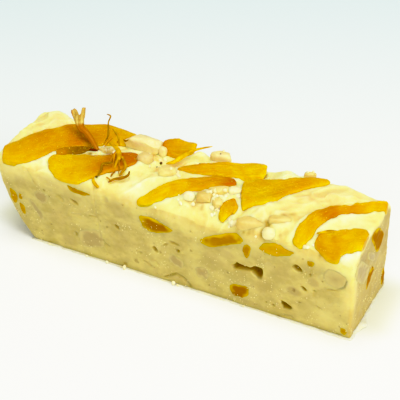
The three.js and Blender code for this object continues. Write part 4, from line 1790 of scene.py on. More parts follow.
CAVITIES = (
    Cavity(
        (
            (19.8, 12.5), (21.4, 14.2), (23.2, 13.7), (25.4, 13.7), (27.2, 14.9), (29.0, 14.6),
            (29.2, 12.6), (28.9, 11.2), (27.8, 10.7), (25.5, 12.3), (22.6, 12.0), (20.6, 11.7),
        ),
        4.2,
    ),
    Cavity(((34.5, 6.0), (36.2, 5.9), (38.3, 4.6), (37.2, 3.6), (35.4, 3.5), (34.7, 4.6)), 2.6),
)
# Nuts that lie just under the front: centre x, z, length, height, tilt, strength.
FAINT_NUTS = (
    (-49.0, 19.6, 6.5, 4.0, -60, 0.30),
    (-36.5, 11.0, 8.0, 6.0, 20, 0.25),
    (-33.0, 4.0, 6.5, 3.4, -10, 0.35),
    (-16.0, 20.0, 7.0, 5.0, -30, 0.35),
    (-14.5, 9.5, 9.0, 6.5, 15, 0.28),
    (-5.0, 17.0, 6.0, 4.0, -35, 0.25),
    (18.0, 15.6, 6.2, 3.2, -12, 0.35),
    (14.5, 12.6, 7.0, 4.6, -20, 0.30),
    (29.5, 8.8, 6.4, 4.2, 20, 0.28),
    (38.2, 10.4, 5.2, 2.6, -10, 0.75),
    (43.4, 15.2, 3.6, 2.4, 0, 0.55),
    (27.5, 1.8, 8.0, 2.2, -2, 0.55),
    (46.0, 9.0, 6.0, 4.6, 30, 0.20),
    (-40.0, 22.4, 6.0, 2.6, -15, 0.30),
    (34.0, 15.4, 5.4, 3.6, 10, 0.22),
)
# Limits for the nuts of the other faces: height of the centre, length, height, tilt, strength.
FAINT_NUT_LIMITS = ((2.0, 23.0), (4.0, 8.5), (2.6, 5.5), (-60.0, 60.0), (0.25, 0.6))
# Where the front's pale rim ends and its painted shade begins, as x, z on the front plane.
RIM_SHADE_LINE = (
    (-52, 23.5), (-44, 24.4), (-20, 24.4), (-16, 25.7), (-8, 25.2), (0, 23.9), (12, 22.6),
    (24, 24.1), (34, 25.4), (38, 23.5), (44, 24.2), (50, 23.1), (54, 21.0),
)
# Nuts under the skin on top, which show as warm patches: x, y, spread and strength.
PEACH_PATCHES = (
    (24.0, -3.0, 3.2, 0.7),
    (31.5, -2.2, 3.0, 0.6),
    (35.0, 3.0, 3.6, 0.9),
    (40.5, 4.0, 3.0, 0.6),
    (45.5, 9.0, 2.6, 0.4),
    (26.0, -11.6, 2.6, 0.5),
    (32.6, -8.0, 2.6, 0.6),
    (-13.5, -6.0, 3.4, 0.3),
    (7.3, -9.2, 2.4, 0.9),
    (41.0, 8.0, 3.0, 0.3),
    (-50.0, 8.0, 3.4, 0.4),
)
# Painted shade in the skin's dips and creases and around the pieces on top: x, y, spread and strength.
OLIVE_SHADE_PATCHES = (
    (28.5, -10.5, 1.2, 1.3),
    (31.6, -7.3, 0.8, 0.8),
    (32.8, -6.4, 0.9, 0.8),
    (33.6, -5.0, 0.8, 0.5),
    (32.8, -11.9, 0.6, 0.8),
    (34.2, -11.4, 0.6, 0.7),
    (22.9, -13.1, 0.6, 0.7),
    (24.4, -12.9, 0.6, 0.8),
    (25.7, -12.6, 0.5, 0.6),
    (44.6, -13.3, 0.5, 0.7),
    (46.0, -13.7, 0.6, 0.7),
    (28.0, -12.5, 0.6, 1.1),
    (29.0, -13.4, 0.5, 0.8),
    (6.5, -9.4, 0.7, 0.9),
    (8.8, -9.6, 0.6, 0.6),
    (18.0, -7.2, 0.8, 0.6),
    (-34.8, -3.5, 0.8, 0.7),
    (-33.3, -2.7, 0.9, 1.0),
    (-31.8, -2.0, 0.8, 1.0),
)
# Painted highlight where the skin is at its brightest: x, y, spread and strength.
LIT_PATCHES = (
    (51.2, -12.4, 3.2, 1.0),
    (-12.1, -8.5, 3.4, 0.4),
    (-42.5, -11.5, 3.4, 0.35),
    (-12.0, -10.5, 3.4, 0.3),
    (48.5, -1.5, 3.0, 0.4),
)


@dataclass
class NougatBlock:
    """The nougat: its rough top, its cut faces, its holes, and the seats round what lies on it.

    build fills axes, which are the grid's coordinates, and standing, which is how far each column of the
    top stands above the smoothed top.
    """

    step: float = 0.31
    wafer_top: float = 0.4
    lip_reach: float = 1.0
    lip_share: float = 0.55
    hidden_share: float = 0.12
    low: Point3 = (-60.0, -14.9, 0.0)
    high: Point3 = (57.0, 14.9, 33.5)
    strips: Sequence[FruitStrip] = STRIPS
    nuts: Sequence[TopNut] = TOP_NUTS
    rim_shade_slant: float = 0.6
    strip_trench: float = 0.7
    smoothing_rounds: int = 34
    front_rim_radius: float = 1.1
    middle_rounding: float = 3.2
    right_rounding: float = 0.8
    back_rim_radius: float = 1.6
    right_rim_radius: float = 0.9
    left_rim_radius: float = 1.5
    foot_radius: float = 0.3
    pit_rounding: float = 0.25
    cavity_rounding: float = 0.3
    cavity_floor_rounding: float = 0.8
    cavity_wall_slope: float = 0.14
    hidden_above_wafer: float = 0.2
    hidden_before_back: float = 0.8
    crest_highlight_share: float = 0.42
    crest_highlight_heights: Point2 = (0.02, 0.4)
    crevice_shade_share: float = 0.75
    crevice_shade_depths: Point2 = (0.02, 0.34)
    end_share: float = 0.45
    foot_shade_share: float = 0.42
    shaded_hollow_share: float = 0.9
    axes: list[Array] = field(default_factory=list)
    standing: Array = field(default_factory=lambda: np.zeros((1, 1)))

    def top_surface(self, x: Array, y: Array) -> Array:
        """Height of the rough top, with its relief and the lips round what is pressed into it.

        Args:
            x: Places along the bar.
            y: Places across it.

        Returns:
            The height at each place.
        """
        height = FORM.top(x, y) + top_relief(x, y)
        for strip in self.strips:
            distance = strip.plan_distance(x, y)
            lip = self.lip_share * strip.lip
            height = height + lip * bell(np.maximum(distance - 0.5, 0.0), self.lip_reach) * (distance > -0.5)
            height = height - self.strip_trench * smooth_step(0.0, 1.2, -distance - 0.9)
        for nut in self.nuts:
            radius = 0.5 * math.sqrt(nut.size[0] * nut.size[1])
            distance = np.hypot(x - nut.at[0], y - nut.at[1]) - radius
            height = height + nut.seat * bell(np.maximum(distance, 0.0), 1.0)
        return height

    def signed_distance(self) -> Array:
        """Measures the nougat on the grid.

        Returns:
            The distance from each grid point to the nougat's surface, negative inside.
        """
        self.axes = [np.arange(a, b + self.step, self.step) for a, b in zip(self.low, self.high)]
        x, y, z = np.meshgrid(*self.axes, indexing="ij", sparse=True)
        flat_x, flat_y = x[:, :, 0], y[:, :, 0]
        top = self.top_surface(flat_x, flat_y)
        self.standing = top - softened(top, self.smoothing_rounds)
        climb_x, climb_y = np.gradient(top, self.step)
        slope = np.sqrt(1.0 + climb_x**2 + climb_y**2)
        solid = ((z - top[:, :, None]) / slope[:, :, None]).astype(np.float32)
        middle, right_part = bell(x - 3.0, 16.0), bell(x - 30.0, 8.0)
        rim = self.front_rim_radius + self.middle_rounding * middle + self.right_rounding * right_part
        front = FORM.front + front_relief(x[:, 0, :], z[0, 0, :][None, :])[:, None, :] - y
        solid = smooth_max(solid, front, rim).astype(np.float32)
        back = y + FORM.front + back_relief(x[:, 0, :], z[0, 0, :][None, :])[:, None, :]
        solid = smooth_max(solid, back, self.back_rim_radius).astype(np.float32)
        right = x - FORM.right_end_at(z) + end_relief(y[0, :, :], z[0, :, :])[None, :, :]
        solid = smooth_max(solid, right, self.right_rim_radius).astype(np.float32)
        lean = FORM.lean_reach / FORM.lean_rise * np.exp(-z / FORM.lean_rise)
        wavy = layered(LEFT_SAG, y[0, :, :], z[0, :, :])
        left = (FORM.left_end(z) + 0.15 + wavy[None, :, :] - x) / np.sqrt(1.0 + lean**2)
        solid = smooth_max(solid, left, self.left_rim_radius).astype(np.float32)
        foot = self.wafer_top - 0.05 - z + 0.0 * x
        solid = smooth_max(solid, foot, self.foot_radius).astype(np.float32)
        self._carve(solid)
        return solid

    def _window(self, low: Point3, high: Point3) -> tuple[tuple[slice, slice, slice], list[Array]]:
        """Finds the part of the grid inside a box.

        Args:
            low: The box's lowest corner.
            high: Its highest corner.

        Returns:
            The part as slices and as coordinates.
        """
        slices = []
        for axis, a, b in zip(self.axes, low, high):
            slices.append(slice(int(np.searchsorted(axis, a)), int(np.searchsorted(axis, b)) + 1))
        coordinates = [axis[s] for axis, s in zip(self.axes, slices)]
        return tuple(slices), np.meshgrid(*coordinates, indexing="ij", sparse=True)

    def _carve(self, solid: Array) -> None:
        """Takes the pits and cavities out of the front.

        Args:
            solid: The signed distance on the grid, which is changed.
        """
        for pit in PITS:
            low = (pit.x - pit.length, FORM.front - 1.0, pit.z - pit.length)
            high = (pit.x + pit.length, FORM.front + 4.0, pit.z + pit.length)
            window, (x, y, z) = self._window(low, high)
            cos, sin = math.cos(math.radians(pit.tilt)), math.sin(math.radians(pit.tilt))
            a = (x - pit.x) * cos + (z - pit.z) * sin
            b = -(x - pit.x) * sin + (z - pit.z) * cos
            inward = y - FORM.front - front_relief(x[:, 0, :], z[0, 0, :][None, :])[:, None, :]
            on_face = (2 * a / pit.length) ** 2 + (2 * b / pit.height) ** 2
            form = np.sqrt(on_face + (inward / pit.depth) ** 2) - 1.0
            distance = form * 0.5 * min(pit.height, pit.length) + 0.12 * RELIEF(0.9, x, y, z)
            solid[window] = smooth_max(solid[window], -distance, self.pit_rounding)
        for cavity in CAVITIES:
            corners = np.array(cavity.corners)
            low, high = corners.min(0) - 1.5, corners.max(0) + 1.5
            window, (x, y, z) = self._window(
                (low[0], FORM.front - 1.0, low[1]), (high[0], FORM.front + cavity.depth + 1.5, high[1])
            )
            inward = y - FORM.front
            around = outline_distance(corners, x[:, 0, :], z[0, 0, :][None, :])[:, None, :]
            wall = around + self.cavity_wall_slope * inward + 0.22 * RELIEF(1.1, x, y, z)
            distance = smooth_max(wall, inward - cavity.depth, self.cavity_floor_rounding)
            solid[window] = smooth_max(solid[window], -distance, self.cavity_rounding)

    def build(self) -> bpy.types.Object:
        """Meshes the nougat and paints what its finish reads.

        Returns:
            The nougat.
        """
        vertices, quads = surface_nets(self.signed_distance(), self.low, self.step)
        piece = make_object("nougat_body", vertices, quads)
        self._thin_hidden_faces(piece)
        x, y, z = places(piece).T
        inward = y - FORM.front - front_relief(x, z)
        under = self.top_surface(x, y) - z
        cut = self._cut_tone_and_shade(x, y, z, under)
        near_top = 1.0 - smooth_step(0.4, 1.6, under)
        painted = {"cut": cut, **self._skin_tones(x, y, z, cut, near_top)}
        # Painted shade on the right end face, near its surface.
        into_end = FORM.right_end_at(z) - x
        painted["end"] = self.end_share * (1.0 - smooth_step(0.5, 1.4, into_end)) * cut
        # Painted shade along the foot, where the bar meets the wafer and the floor.
        foot_top = 1.9 + 0.5 * RELIEF(2.0, x, y, z)
        painted["foot"] = self.foot_shade_share * (1.0 - smooth_step(0.6, foot_top, z))
        # Painted shade deep inside the front's pits and cavities.
        in_hole = (under > 1.0) & (x > -40.0) & (x < 53.0) & (inward < 6.0)
        painted["hollow"] = np.where(in_hole, smooth_step(0.25, 1.6, inward), 0.0) * cut * self.shaded_hollow_share
        painted["nut"] = self._faint_nuts(x, y, z) * cut
        for name, values in painted.items():
            paint(piece, name, values)
        return piece

    def _skin_tones(self, x: Array, y: Array, z: Array, cut: Array, near_top: Array) -> dict[str, Array]:
        """Gives the shares of the tones over the skin, with its painted highlight and painted shade.

        Args:
            x: Places along the bar.
            y: Places across it.
            z: Heights.
            cut: How far each place has the cut faces' look.
            near_top: How near each place is to the rough top, from 0 to 1.

        Returns:
            The shares by the name of the tone.
        """
        cells = [
            np.clip(((a - low) / self.step).astype(int), 0, size - 1)
            for a, low, size in zip((x, y), self.low, self.standing.shape)
        ]
        standing = self.standing[cells[0], cells[1]]
        # Painted light patches, which also hold the painted shade of the creases back.
        bright = patches(LIT_PATCHES, x, y)
        # Painted highlight where the top stands above its smoothed form, and on the lit patches.
        crest = np.clip(self.crest_highlight_share * smooth_step(*self.crest_highlight_heights, standing) + bright, 0.0, 1.0)
        # Painted shade where the top sinks below its smoothed form.
        crevice = self.crevice_shade_share * smooth_step(*self.crevice_shade_depths, -standing)
        peach = patches(PEACH_PATCHES, x, y) * (1.0 - cut) * (0.8 + 0.5 * RELIEF(1.5, x, y, z))
        # Painted shade in dips, creases and around the pieces on top.
        olive = patches(OLIVE_SHADE_PATCHES, x, y) * (0.9 + 0.6 * RELIEF(0.9, x, y, z))
        return {
            "crest": crest * near_top,
            "crevice": crevice * near_top * np.clip(1.0 - bright, 0.0, 1.0),
            "peach": np.clip(peach, 0.0, 1.0),
            "olive": np.clip(olive, 0.0, 1.0) * near_top,
        }

    def _cut_tone_and_shade(self, x: Array, y: Array, z: Array, under: Array) -> Array:
        """How far each place has the cut faces' darker tone, which is their denser look and painted shade.

        Args:
            x: Places along the bar.
            y: Places across it.
            z: Heights.
            under: Depths below the rough top.

        Returns:
            The share at each place, from 0 on the skin to 1.
        """
        inward = np.maximum(y - FORM.front, 0.0)
        # Painted shade: the darker cut tone sets in below the lit rim, where the rounded rim turns from the
        # light.
        below = np.interp(x, *zip(*RIM_SHADE_LINE)) + 0.5 * RELIEF(1.8, x, y, z) - z - self.rim_shade_slant * inward
        front = 0.5 * smooth_step(-2.6, 1.4, below) + 0.5 * smooth_step(0.6, 6.0, below)
        # Painted light at the right corner and on the front lobe, where the skin's lighter tone reaches down;
        # a lighter spot low on the right as well.
        lit_right_corner = bell(x - 54.0, 2.6) * smooth_step(6.0, 13.0, z)
        lit_front_lobe = bell(x - 50.8, 3.2) * smooth_step(19.6, 22.0, z)
        low_spot = bell(x - 47.5, 4.5) * bell(z - 5.5, 4.0)
        for strength, light in ((0.6, lit_right_corner), (0.95, lit_front_lobe), (0.4, low_spot)):
            front = front * (1.0 - strength * light)
        near_front = 1.0 - smooth_step(1.6, 4.0, inward)
        return near_front * front + (1.0 - near_front) * smooth_step(0.5, 2.6, under)

    def _thin_hidden_faces(self, piece: bpy.types.Object) -> None:
        """Draws the triangles of the back and the underside together, where nothing fine shows.

        Args:
            piece: The nougat.
        """
        place = places(piece)
        under = place[:, 2] < self.wafer_top + self.hidden_above_wafer
        hidden = under | (place[:, 1] > -FORM.front - self.hidden_before_back)
        group = piece.vertex_groups.new(name="hidden")
        group.add([int(i) for i in np.flatnonzero(hidden)], 1.0, "REPLACE")
        thin = piece.modifiers.new("thin", "DECIMATE")
        thin.vertex_group = "hidden"
        thin.ratio = 1.0 - (1.0 - self.hidden_share) * float(hidden.mean())
        evaluated = piece.evaluated_get(bpy.context.evaluated_depsgraph_get())
        mesh = bpy.data.meshes.new_from_object(evaluated)
        piece.modifiers.clear()
        piece.vertex_groups.clear()
        piece.data = mesh
        mesh.name = piece.name
        mesh.polygons.foreach_set("use_smooth", np.ones(len(mesh.polygons), bool))

    @staticmethod
    def _faint_nuts(x: Array, y: Array, z: Array) -> Array:
        """How strongly a nut shows through the cut faces.

        Args:
            x: Places along the bar.
            y: Places across it.
            z: Heights.

        Returns:
            The strength at each place, from 0 to 1.
        """
        shown = np.zeros(len(x))
        bend = 0.35 * RELIEF(2.0, x, y, z)

        def add(a: Array, b: Array, oval: Sequence[float], near: Array) -> None:
            """Adds one nut.

            Args:
                a: Places along the face.
                b: Heights.
                oval: The nut's centre, length, height, tilt and strength.
                near: How near each place is to the face, from 0 to 1.
            """
            centre_a, centre_b, length, height, tilt, strength = oval
            cos, sin = math.cos(math.radians(tilt)), math.sin(math.radians(tilt))
            u = ((a - centre_a) * cos + (b - centre_b) * sin) * 2.0 / length
            v = (-(a - centre_a) * sin + (b - centre_b) * cos) * 2.0 / height
            form = 1.0 - smooth_step(0.55, 1.2, np.hypot(u, v) + bend)
            np.maximum(shown, form * strength * near, out=shown)

        on_front = 1.0 - smooth_step(0.6, 2.0, y - FORM.front)
        for nut in FAINT_NUTS:
            add(x, z, nut, on_front)
        random = np.random.default_rng(17)
        # The other faces: places along them, heights, nearness, the span of the centres and how many nuts.
        others = (
            (x, z, 1.0 - smooth_step(0.6, 2.0, -FORM.front - y), (-50.0, 52.0), 34),
            (y, z, 1.0 - smooth_step(0.8, 2.5, x - FORM.left_end(z)), (-11.0, 11.0), 9),
            (y, z, 1.0 - smooth_step(0.6, 2.0, FORM.right_end_at(z) - x), (-11.0, 11.0), 5),
        )
        for a, b, near, span, count in others:
            for _ in range(count):
                add(a, b, [random.uniform(*limits) for limits in (span, *FAINT_NUT_LIMITS)], near)
        return shown


def surface_nets(values: Array, origin: Point3, step: float) -> tuple[Array, Array]:
    """The zero surface of a signed distance, as one vertex for each cell that it crosses.

    Args:
        values: Signed distance on a grid, negative inside.
        origin: Place of the grid's first point.
        step: The grid's spacing.

    Returns:
        Vertices and quads, with the faces pointing outwards.
    """
    inside = values < 0
    shape = np.array(values.shape) - 1
    count = np.zeros(shape, np.int8)
    for i, j, k in product((0, 1), repeat=3):
        count += inside[i : shape[0] + i, j : shape[1] + j, k : shape[2] + k]
    cells = np.argwhere((count > 0) & (count < 8))
    number = np.full(shape, -1, np.int64)
    number[tuple(cells.T)] = np.arange(len(cells))
    total = np.zeros((len(cells), 3))
    crossings = np.zeros(len(cells))
    for start in product((0, 1), repeat=3):
        for axis in range(3):
            if start[axis]:
                continue
            a = cells + np.array(start)
            b = a.copy()
            b[:, axis] += 1
            value_a, value_b = values[tuple(a.T)], values[tuple(b.T)]
            crossed = (value_a < 0) != (value_b < 0)
            share = value_a[crossed] / (value_a[crossed] - value_b[crossed])
            point = np.tile(np.array(start, float), (int(crossed.sum()), 1))
            point[:, axis] += share
            total[crossed] += point
            crossings[crossed] += 1
    vertices = (cells + total / crossings[:, None]) * step + np.array(origin)

    quads = []
    for axis in range(3):
        first, second = (axis + 1) % 3, (axis + 2) % 3
        low = [slice(None)] * 3
        high = [slice(None)] * 3
        low[axis], high[axis] = slice(None, -1), slice(1, None)
        for other in (first, second):
            low[other] = high[other] = slice(1, -1)
        leaves = inside[tuple(low)] & ~inside[tuple(high)]
        enters = ~inside[tuple(low)] & inside[tuple(high)]
        for crossing, forward in ((leaves, True), (enters, False)):
            edges = np.argwhere(crossing)
            edges[:, first] += 1
            edges[:, second] += 1
            corners = []
            for back_first, back_second in ((1, 1), (0, 1), (0, 0), (1, 0)):
                cell = edges.copy()
                cell[:, first] -= back_first
                cell[:, second] -= back_second
                corners.append(number[tuple(cell.T)])
            quad = np.stack(corners, -1)
            quads.append(quad if forward else quad[:, ::-1])
    return vertices, np.vstack(quads)


# ------------------------------------------------------------------ petals and threads


@dataclass(frozen=True)
class Floret:
    """A dried petal or thread.

    Its path is x, y and height above the nougat. radii are spread along it, flat is the section's
    thickness against its width, and curl bends the section.
    """

    name: str
    path: tuple[Point3, ...]
    radii: tuple[float, float]
    flat: float
    tone: float
    curl: float = 0.0
    sides: int = 14
    steps_per_span: int = 14

    def build(self, seed: int) -> bpy.types.Object:
        """Sweeps the petal's section along its path.

        Args:
            seed: Number of the petal, which sets its unevenness apart.

        Returns:
            The petal.
        """
        given = np.array(self.path, float)
        given[:, 2] += FORM.top(given[:, 0], given[:, 1])
        steps = self.steps_per_span * (len(self.path) - 1) + 1
        share = np.linspace(0.0, 1.0, steps)
        middle = centripetal_curve(given, share)
        along = tangents(middle)
        helper = np.stack([-along[:, 1], along[:, 0], np.full(steps, 0.2)], -1)
        side = np.cross(helper, along)
        side /= np.linalg.norm(side, axis=1, keepdims=True)
        other = np.cross(along, side)
        taper = np.sqrt(np.clip(1.0 - (2.0 * share - 1.0) ** 8, 0.0, 1.0))
        knots = 1.0 + 0.25 * RELIEF(1.6, 9.0 * share, 7.0 * seed + 0.0 * share)
        swell = (0.7 + 0.3 * np.sin(np.pi * share)) * knots
        radius = spread_values(self.radii, share) * swell * (0.12 + 0.88 * taper)
        twist = 0.9 * RELIEF(4.0, 9.0 * share, 3.0 * seed + 5.0 + 0.0 * share)
        angle = 2.0 * np.pi * np.arange(self.sides) / self.sides
        a = radius[:, None] * np.cos(angle)
        bowl = self.curl * (a * a) / np.maximum(radius[:, None], 1e-3)
        b = radius[:, None] * self.flat * np.sin(angle) + bowl
        cos, sin = np.cos(twist)[:, None], np.sin(twist)[:, None]
        u, v = a * cos - b * sin, a * sin + b * cos
        rings = middle[:, None, :] + other[:, None, :] * u[..., None] + side[:, None, :] * v[..., None]
        piece = tube_object(self.name, rings)
        tone = np.clip(self.tone + 0.35 * RELIEF(1.2, *places(piece).T), 0.0, 1.0)
        paint(piece, "tone", tone)
        return piece


FLORETS = (
    Floret(
        "petal_curled_yellow",
        (
            (-26.2, 0, 5), (-24.4, -0.2, 4.4), (-22.5, -1, 3.8),
            (-21.4, -2.6, 2.6), (-21.2, -4.6, 1.8), (-20.8, -6, 1.1),
        ),
        (0.85, 0.55), 0.4, 0.3, 0.35,
    ),
    Floret(
        "petal_curled_second",
        ((-20.8, -2.4, 3), (-18.9, -3.7, 2.2), (-17.9, -5, 1.6), (-18, -6.7, 1.1), (-18.1, -8.2, 0.8)),
        (0.5, 0.55), 0.5, 0.65, 0.3,
    ),
    Floret(
        "thread_hooked",
        (
            (-29.9, 5.2, 10.7), (-28.7, 5.3, 10.3), (-28.7, 4.1, 8.9),
            (-28.1, 2.9, 7), (-27.7, 1.9, 5.6), (-28.5, 0.9, 3.6),
        ),
        (0.24, 0.3), 1.0, 0.8,
    ),
    Floret(
        "thread_branch",
        ((-27.7, 4.4, 6.8), (-26.5, 4.2, 5.8), (-25.3, 3.6, 5), (-24, 1.9, 3.2)),
        (0.22, 0.36), 1.0, 0.6,
    ),
    Floret(
        "thread_lying",
        ((-16.1, -5.8, 1.3), (-15.8, -7.1, 1), (-16.8, -8.5, 0.9), (-18.7, -9.7, 0.8), (-19.9, -11.3, 0.7)),
        (0.42, 0.62), 0.8, 0.8,
    ),
    Floret(
        "thread_dark",
        ((-21.8, -5.3, 2.2), (-23.7, -6.2, 2.1), (-24.4, -7, 1.9), (-23.7, -8.5, 1.6), (-23.8, -10.5, 1)),
        (0.28, 0.36), 1.0, 0.9,
    ),
    Floret(
        "petal_rim",
        ((-24.7, -11.4, 0.9), (-24.1, -12.4, 0.8), (-22.7, -13.2, 0.5), (-21.6, -13.6, 0.4)),
        (0.6, 0.6), 0.5, 0.5, 0.2,
    ),
    Floret(
        "petal_club",
        (
            (-9.4, 3.2, 0.9), (-7.6, 5.4, 1.2), (-6, 7.8, 1.9),
            (-3.6, 9, 2.6), (-0.8, 9.4, 3.6), (2.3, 9.6, 5.6),
        ),
        (0.95, 0.42), 0.4, 0.1, 0.2,
    ),
    Floret("petal_fold", ((41.8, -9.6, 1), (45.6, -8, 1.2), (48.6, -7.2, 1)), (0.6, 0.35), 0.5, 0.35, 0.2),
    Floret("petal_red", ((-31.9, -2, 1.9), (-30.8, -1.5, 1.9), (-29.6, -1, 1.7)), (0.5, 0.4), 0.7, 1.0),
)


# Fine strands that come loose from the petals: each as x, y and height above the nougat.
STRANDS = {
    "strands_upright": (
        ((-28.6, 0.2, 3.0), (-27.9, 1.0, 4.3), (-26.9, 2.6, 5.4)),
        ((-27.6, -0.4, 3.2), (-26.9, 0.6, 4.4), (-26.3, 2.2, 5.2)),
        ((-25.0, 2.4, 4.4), (-24.0, 1.8, 4.0), (-23.3, 1.2, 3.6)),
        ((-24.6, 5.2, 3.6), (-23.3, 4.6, 3.8), (-22.7, 5.0, 4.2)),
    ),
    "strands_low": (
        ((-22.8, -2.6, 3.2), (-22.3, -4.0, 2.4), (-21.2, -6.4, 1.2)),
        ((-22.9, -1.4, 3.8), (-23.2, -3.4, 2.4), (-22.8, -5.4, 1.4)),
        ((-21.0, -3.4, 2.4), (-19.6, -5.6, 1.5), (-18.6, -7.8, 0.9)),
        ((-19.9, -7.2, 1.0), (-20.3, -8.4, 0.9), (-20.1, -9.4, 0.8)),
        ((-19.4, -10.6, 0.9), (-20.6, -10.2, 1.0), (-21.4, -10.0, 1.0)),
    ),
}


def strand_tangle(name: str, paths: Sequence[tuple[Point3, ...]], seed: int) -> bpy.types.Object:
    """Several fine strands as one piece.

    Args:
        name: Name of the piece.
        paths: The strands' paths.
        seed: Number of the piece, which sets its unevenness apart.

    Returns:
        The piece.
    """
    work = bmesh.new()
    tones: list[Array] = []
    for number, path in enumerate(paths):
        own_tone = 0.2 + 0.2 * (number % 4)
        strand = Floret(f"strand_{number}", path, (0.3, 0.2), 0.8, own_tone).build(7 * seed + number)
        work.from_mesh(strand.data)
        tone = np.empty(len(strand.data.vertices), np.float32)
        strand.data.attributes["tone"].data.foreach_get("value", tone)
        tones.append(tone)
        bpy.data.objects.remove(strand)
    mesh = bpy.data.meshes.new(name)
    for layer in list(work.verts.layers.float):
        work.verts.layers.float.remove(layer)
    work.to_mesh(mesh)
    work.free()
    mesh.polygons.foreach_set("use_smooth", np.ones(len(mesh.polygons), bool))
    piece = linked(name, mesh)
    paint(piece, "tone", np.concatenate(tones))
    return piece


@dataclass(frozen=True)
class Trumpet:
    """The upright floret: a tube of fused petals that opens into a ragged mouth.

    Its path is x, y and height above the nougat, and radii are spread along it.
    """

    path: tuple[Point3, ...] = (
        (-30.6, 0.2, 0.9), (-32.1, 1.2, 1.8), (-34, 2.2, 3),
        (-36, 2.9, 4.2), (-37.6, 2.8, 5.4), (-38.5, 3.6, 6.9), (-38.9, 4.1, 9.2),
    )
    radii: tuple[float, ...] = (0.6, 0.7, 0.8, 0.85, 1, 1.3, 1.75)
    wall: float = 0.3
    mouth_depth: float = 3.2
    lobe_height: float = 1.15
    ribs: float = 7.0
    rib_depth: float = 0.09
    lobes: int = 5
    lobe_swing: float = 0.35
    tear_height: float = 1.35
    mouth_flare: float = 0.4
    stations: int = 70
    inner_stations: int = 16
    direction_steps: int = 200
    sides: int = 60

    def build(self) -> bpy.types.Object:
        """Sweeps the tube out to its lobed rim and back down inside the mouth.

        Returns:
            The floret.
        """
        given = np.array(self.path, float)
        given[:, 2] += FORM.top(given[:, 0], given[:, 1])
        share = np.linspace(0.0, 1.0, self.stations)
        middle = centripetal_curve(given, share)
        length = float(np.linalg.norm(np.diff(middle, axis=0), axis=1).sum())
        inner_start = 1.0 - self.mouth_depth / length
        inner = np.linspace(1.0, inner_start, self.inner_stations)
        order = np.concatenate([share, inner])
        inset = np.concatenate([np.zeros(self.stations), np.full(self.inner_stations, self.wall)])
        middle = centripetal_curve(given, order)
        last = self.direction_steps - 1
        along = tangents(centripetal_curve(given, np.linspace(0.0, 1.0, self.direction_steps)))
        along = along[np.clip((order * last).astype(int), 0, last)]
        side = np.cross([0.0, 1.0, 0.0], along)
        side /= np.linalg.norm(side, axis=1, keepdims=True)
        other = np.cross(along, side)
        angle = 2.0 * np.pi * np.arange(self.sides) / self.sides
        ribbed = 1.0 + self.rib_depth * np.cos(self.ribs * angle) + 0.04 * np.cos(12.0 * angle + 1.0)
        radius = (spread_values(self.radii, order) - inset)[:, None] * ribbed
        near_rim = smooth_step(0.8, 1.0, order)[:, None]
        ragged = RELIEF(0.8, 3.0 * np.cos(angle), 3.0 * np.sin(angle), 4.0)
        two_sided = np.cos(2.0 * angle + 0.3)
        scallops = self.lobe_swing * np.cos(self.lobes * angle + 0.6)
        tear = self.tear_height * smooth_step(0.1, 1.0, two_sided) - 0.4 + scallops + 0.5 * ragged
        flare = 1.0 + self.mouth_flare * near_rim**2 * two_sided
        lift = near_rim * self.lobe_height * tear[None, :]
        rings = (
            middle[:, None, :]
            + side[:, None, :] * (radius * flare * np.cos(angle))[..., None]
            + other[:, None, :] * (radius * flare * np.sin(angle))[..., None]
            + along[:, None, :] * lift[..., None]
        )
        piece = tube_object("petal_trumpet_floret", rings)
        height = np.concatenate([np.repeat(order, self.sides), [0.0, inner_start]])
        round_it = np.concatenate([np.tile(angle, len(order)), [0.0, 0.0]])
        cloudy = 0.3 * RELIEF(0.9, 9.0 * height, 2.0 * np.cos(round_it), 4.0)
        streaks = 0.22 * np.cos(self.ribs * round_it) + cloudy
        at_tips = 0.35 * smooth_step(0.95, 1.0, height)
        low = 1.0 - smooth_step(0.7, 0.8, height)
        tone = low + at_tips + streaks * (1.0 - 0.6 * low) + 0.2 * (1.0 - low)
        paint(piece, "tone", np.clip(tone, 0.0, 1.0))
        return piece


# ------------------------------------------------------------------ wafer paper


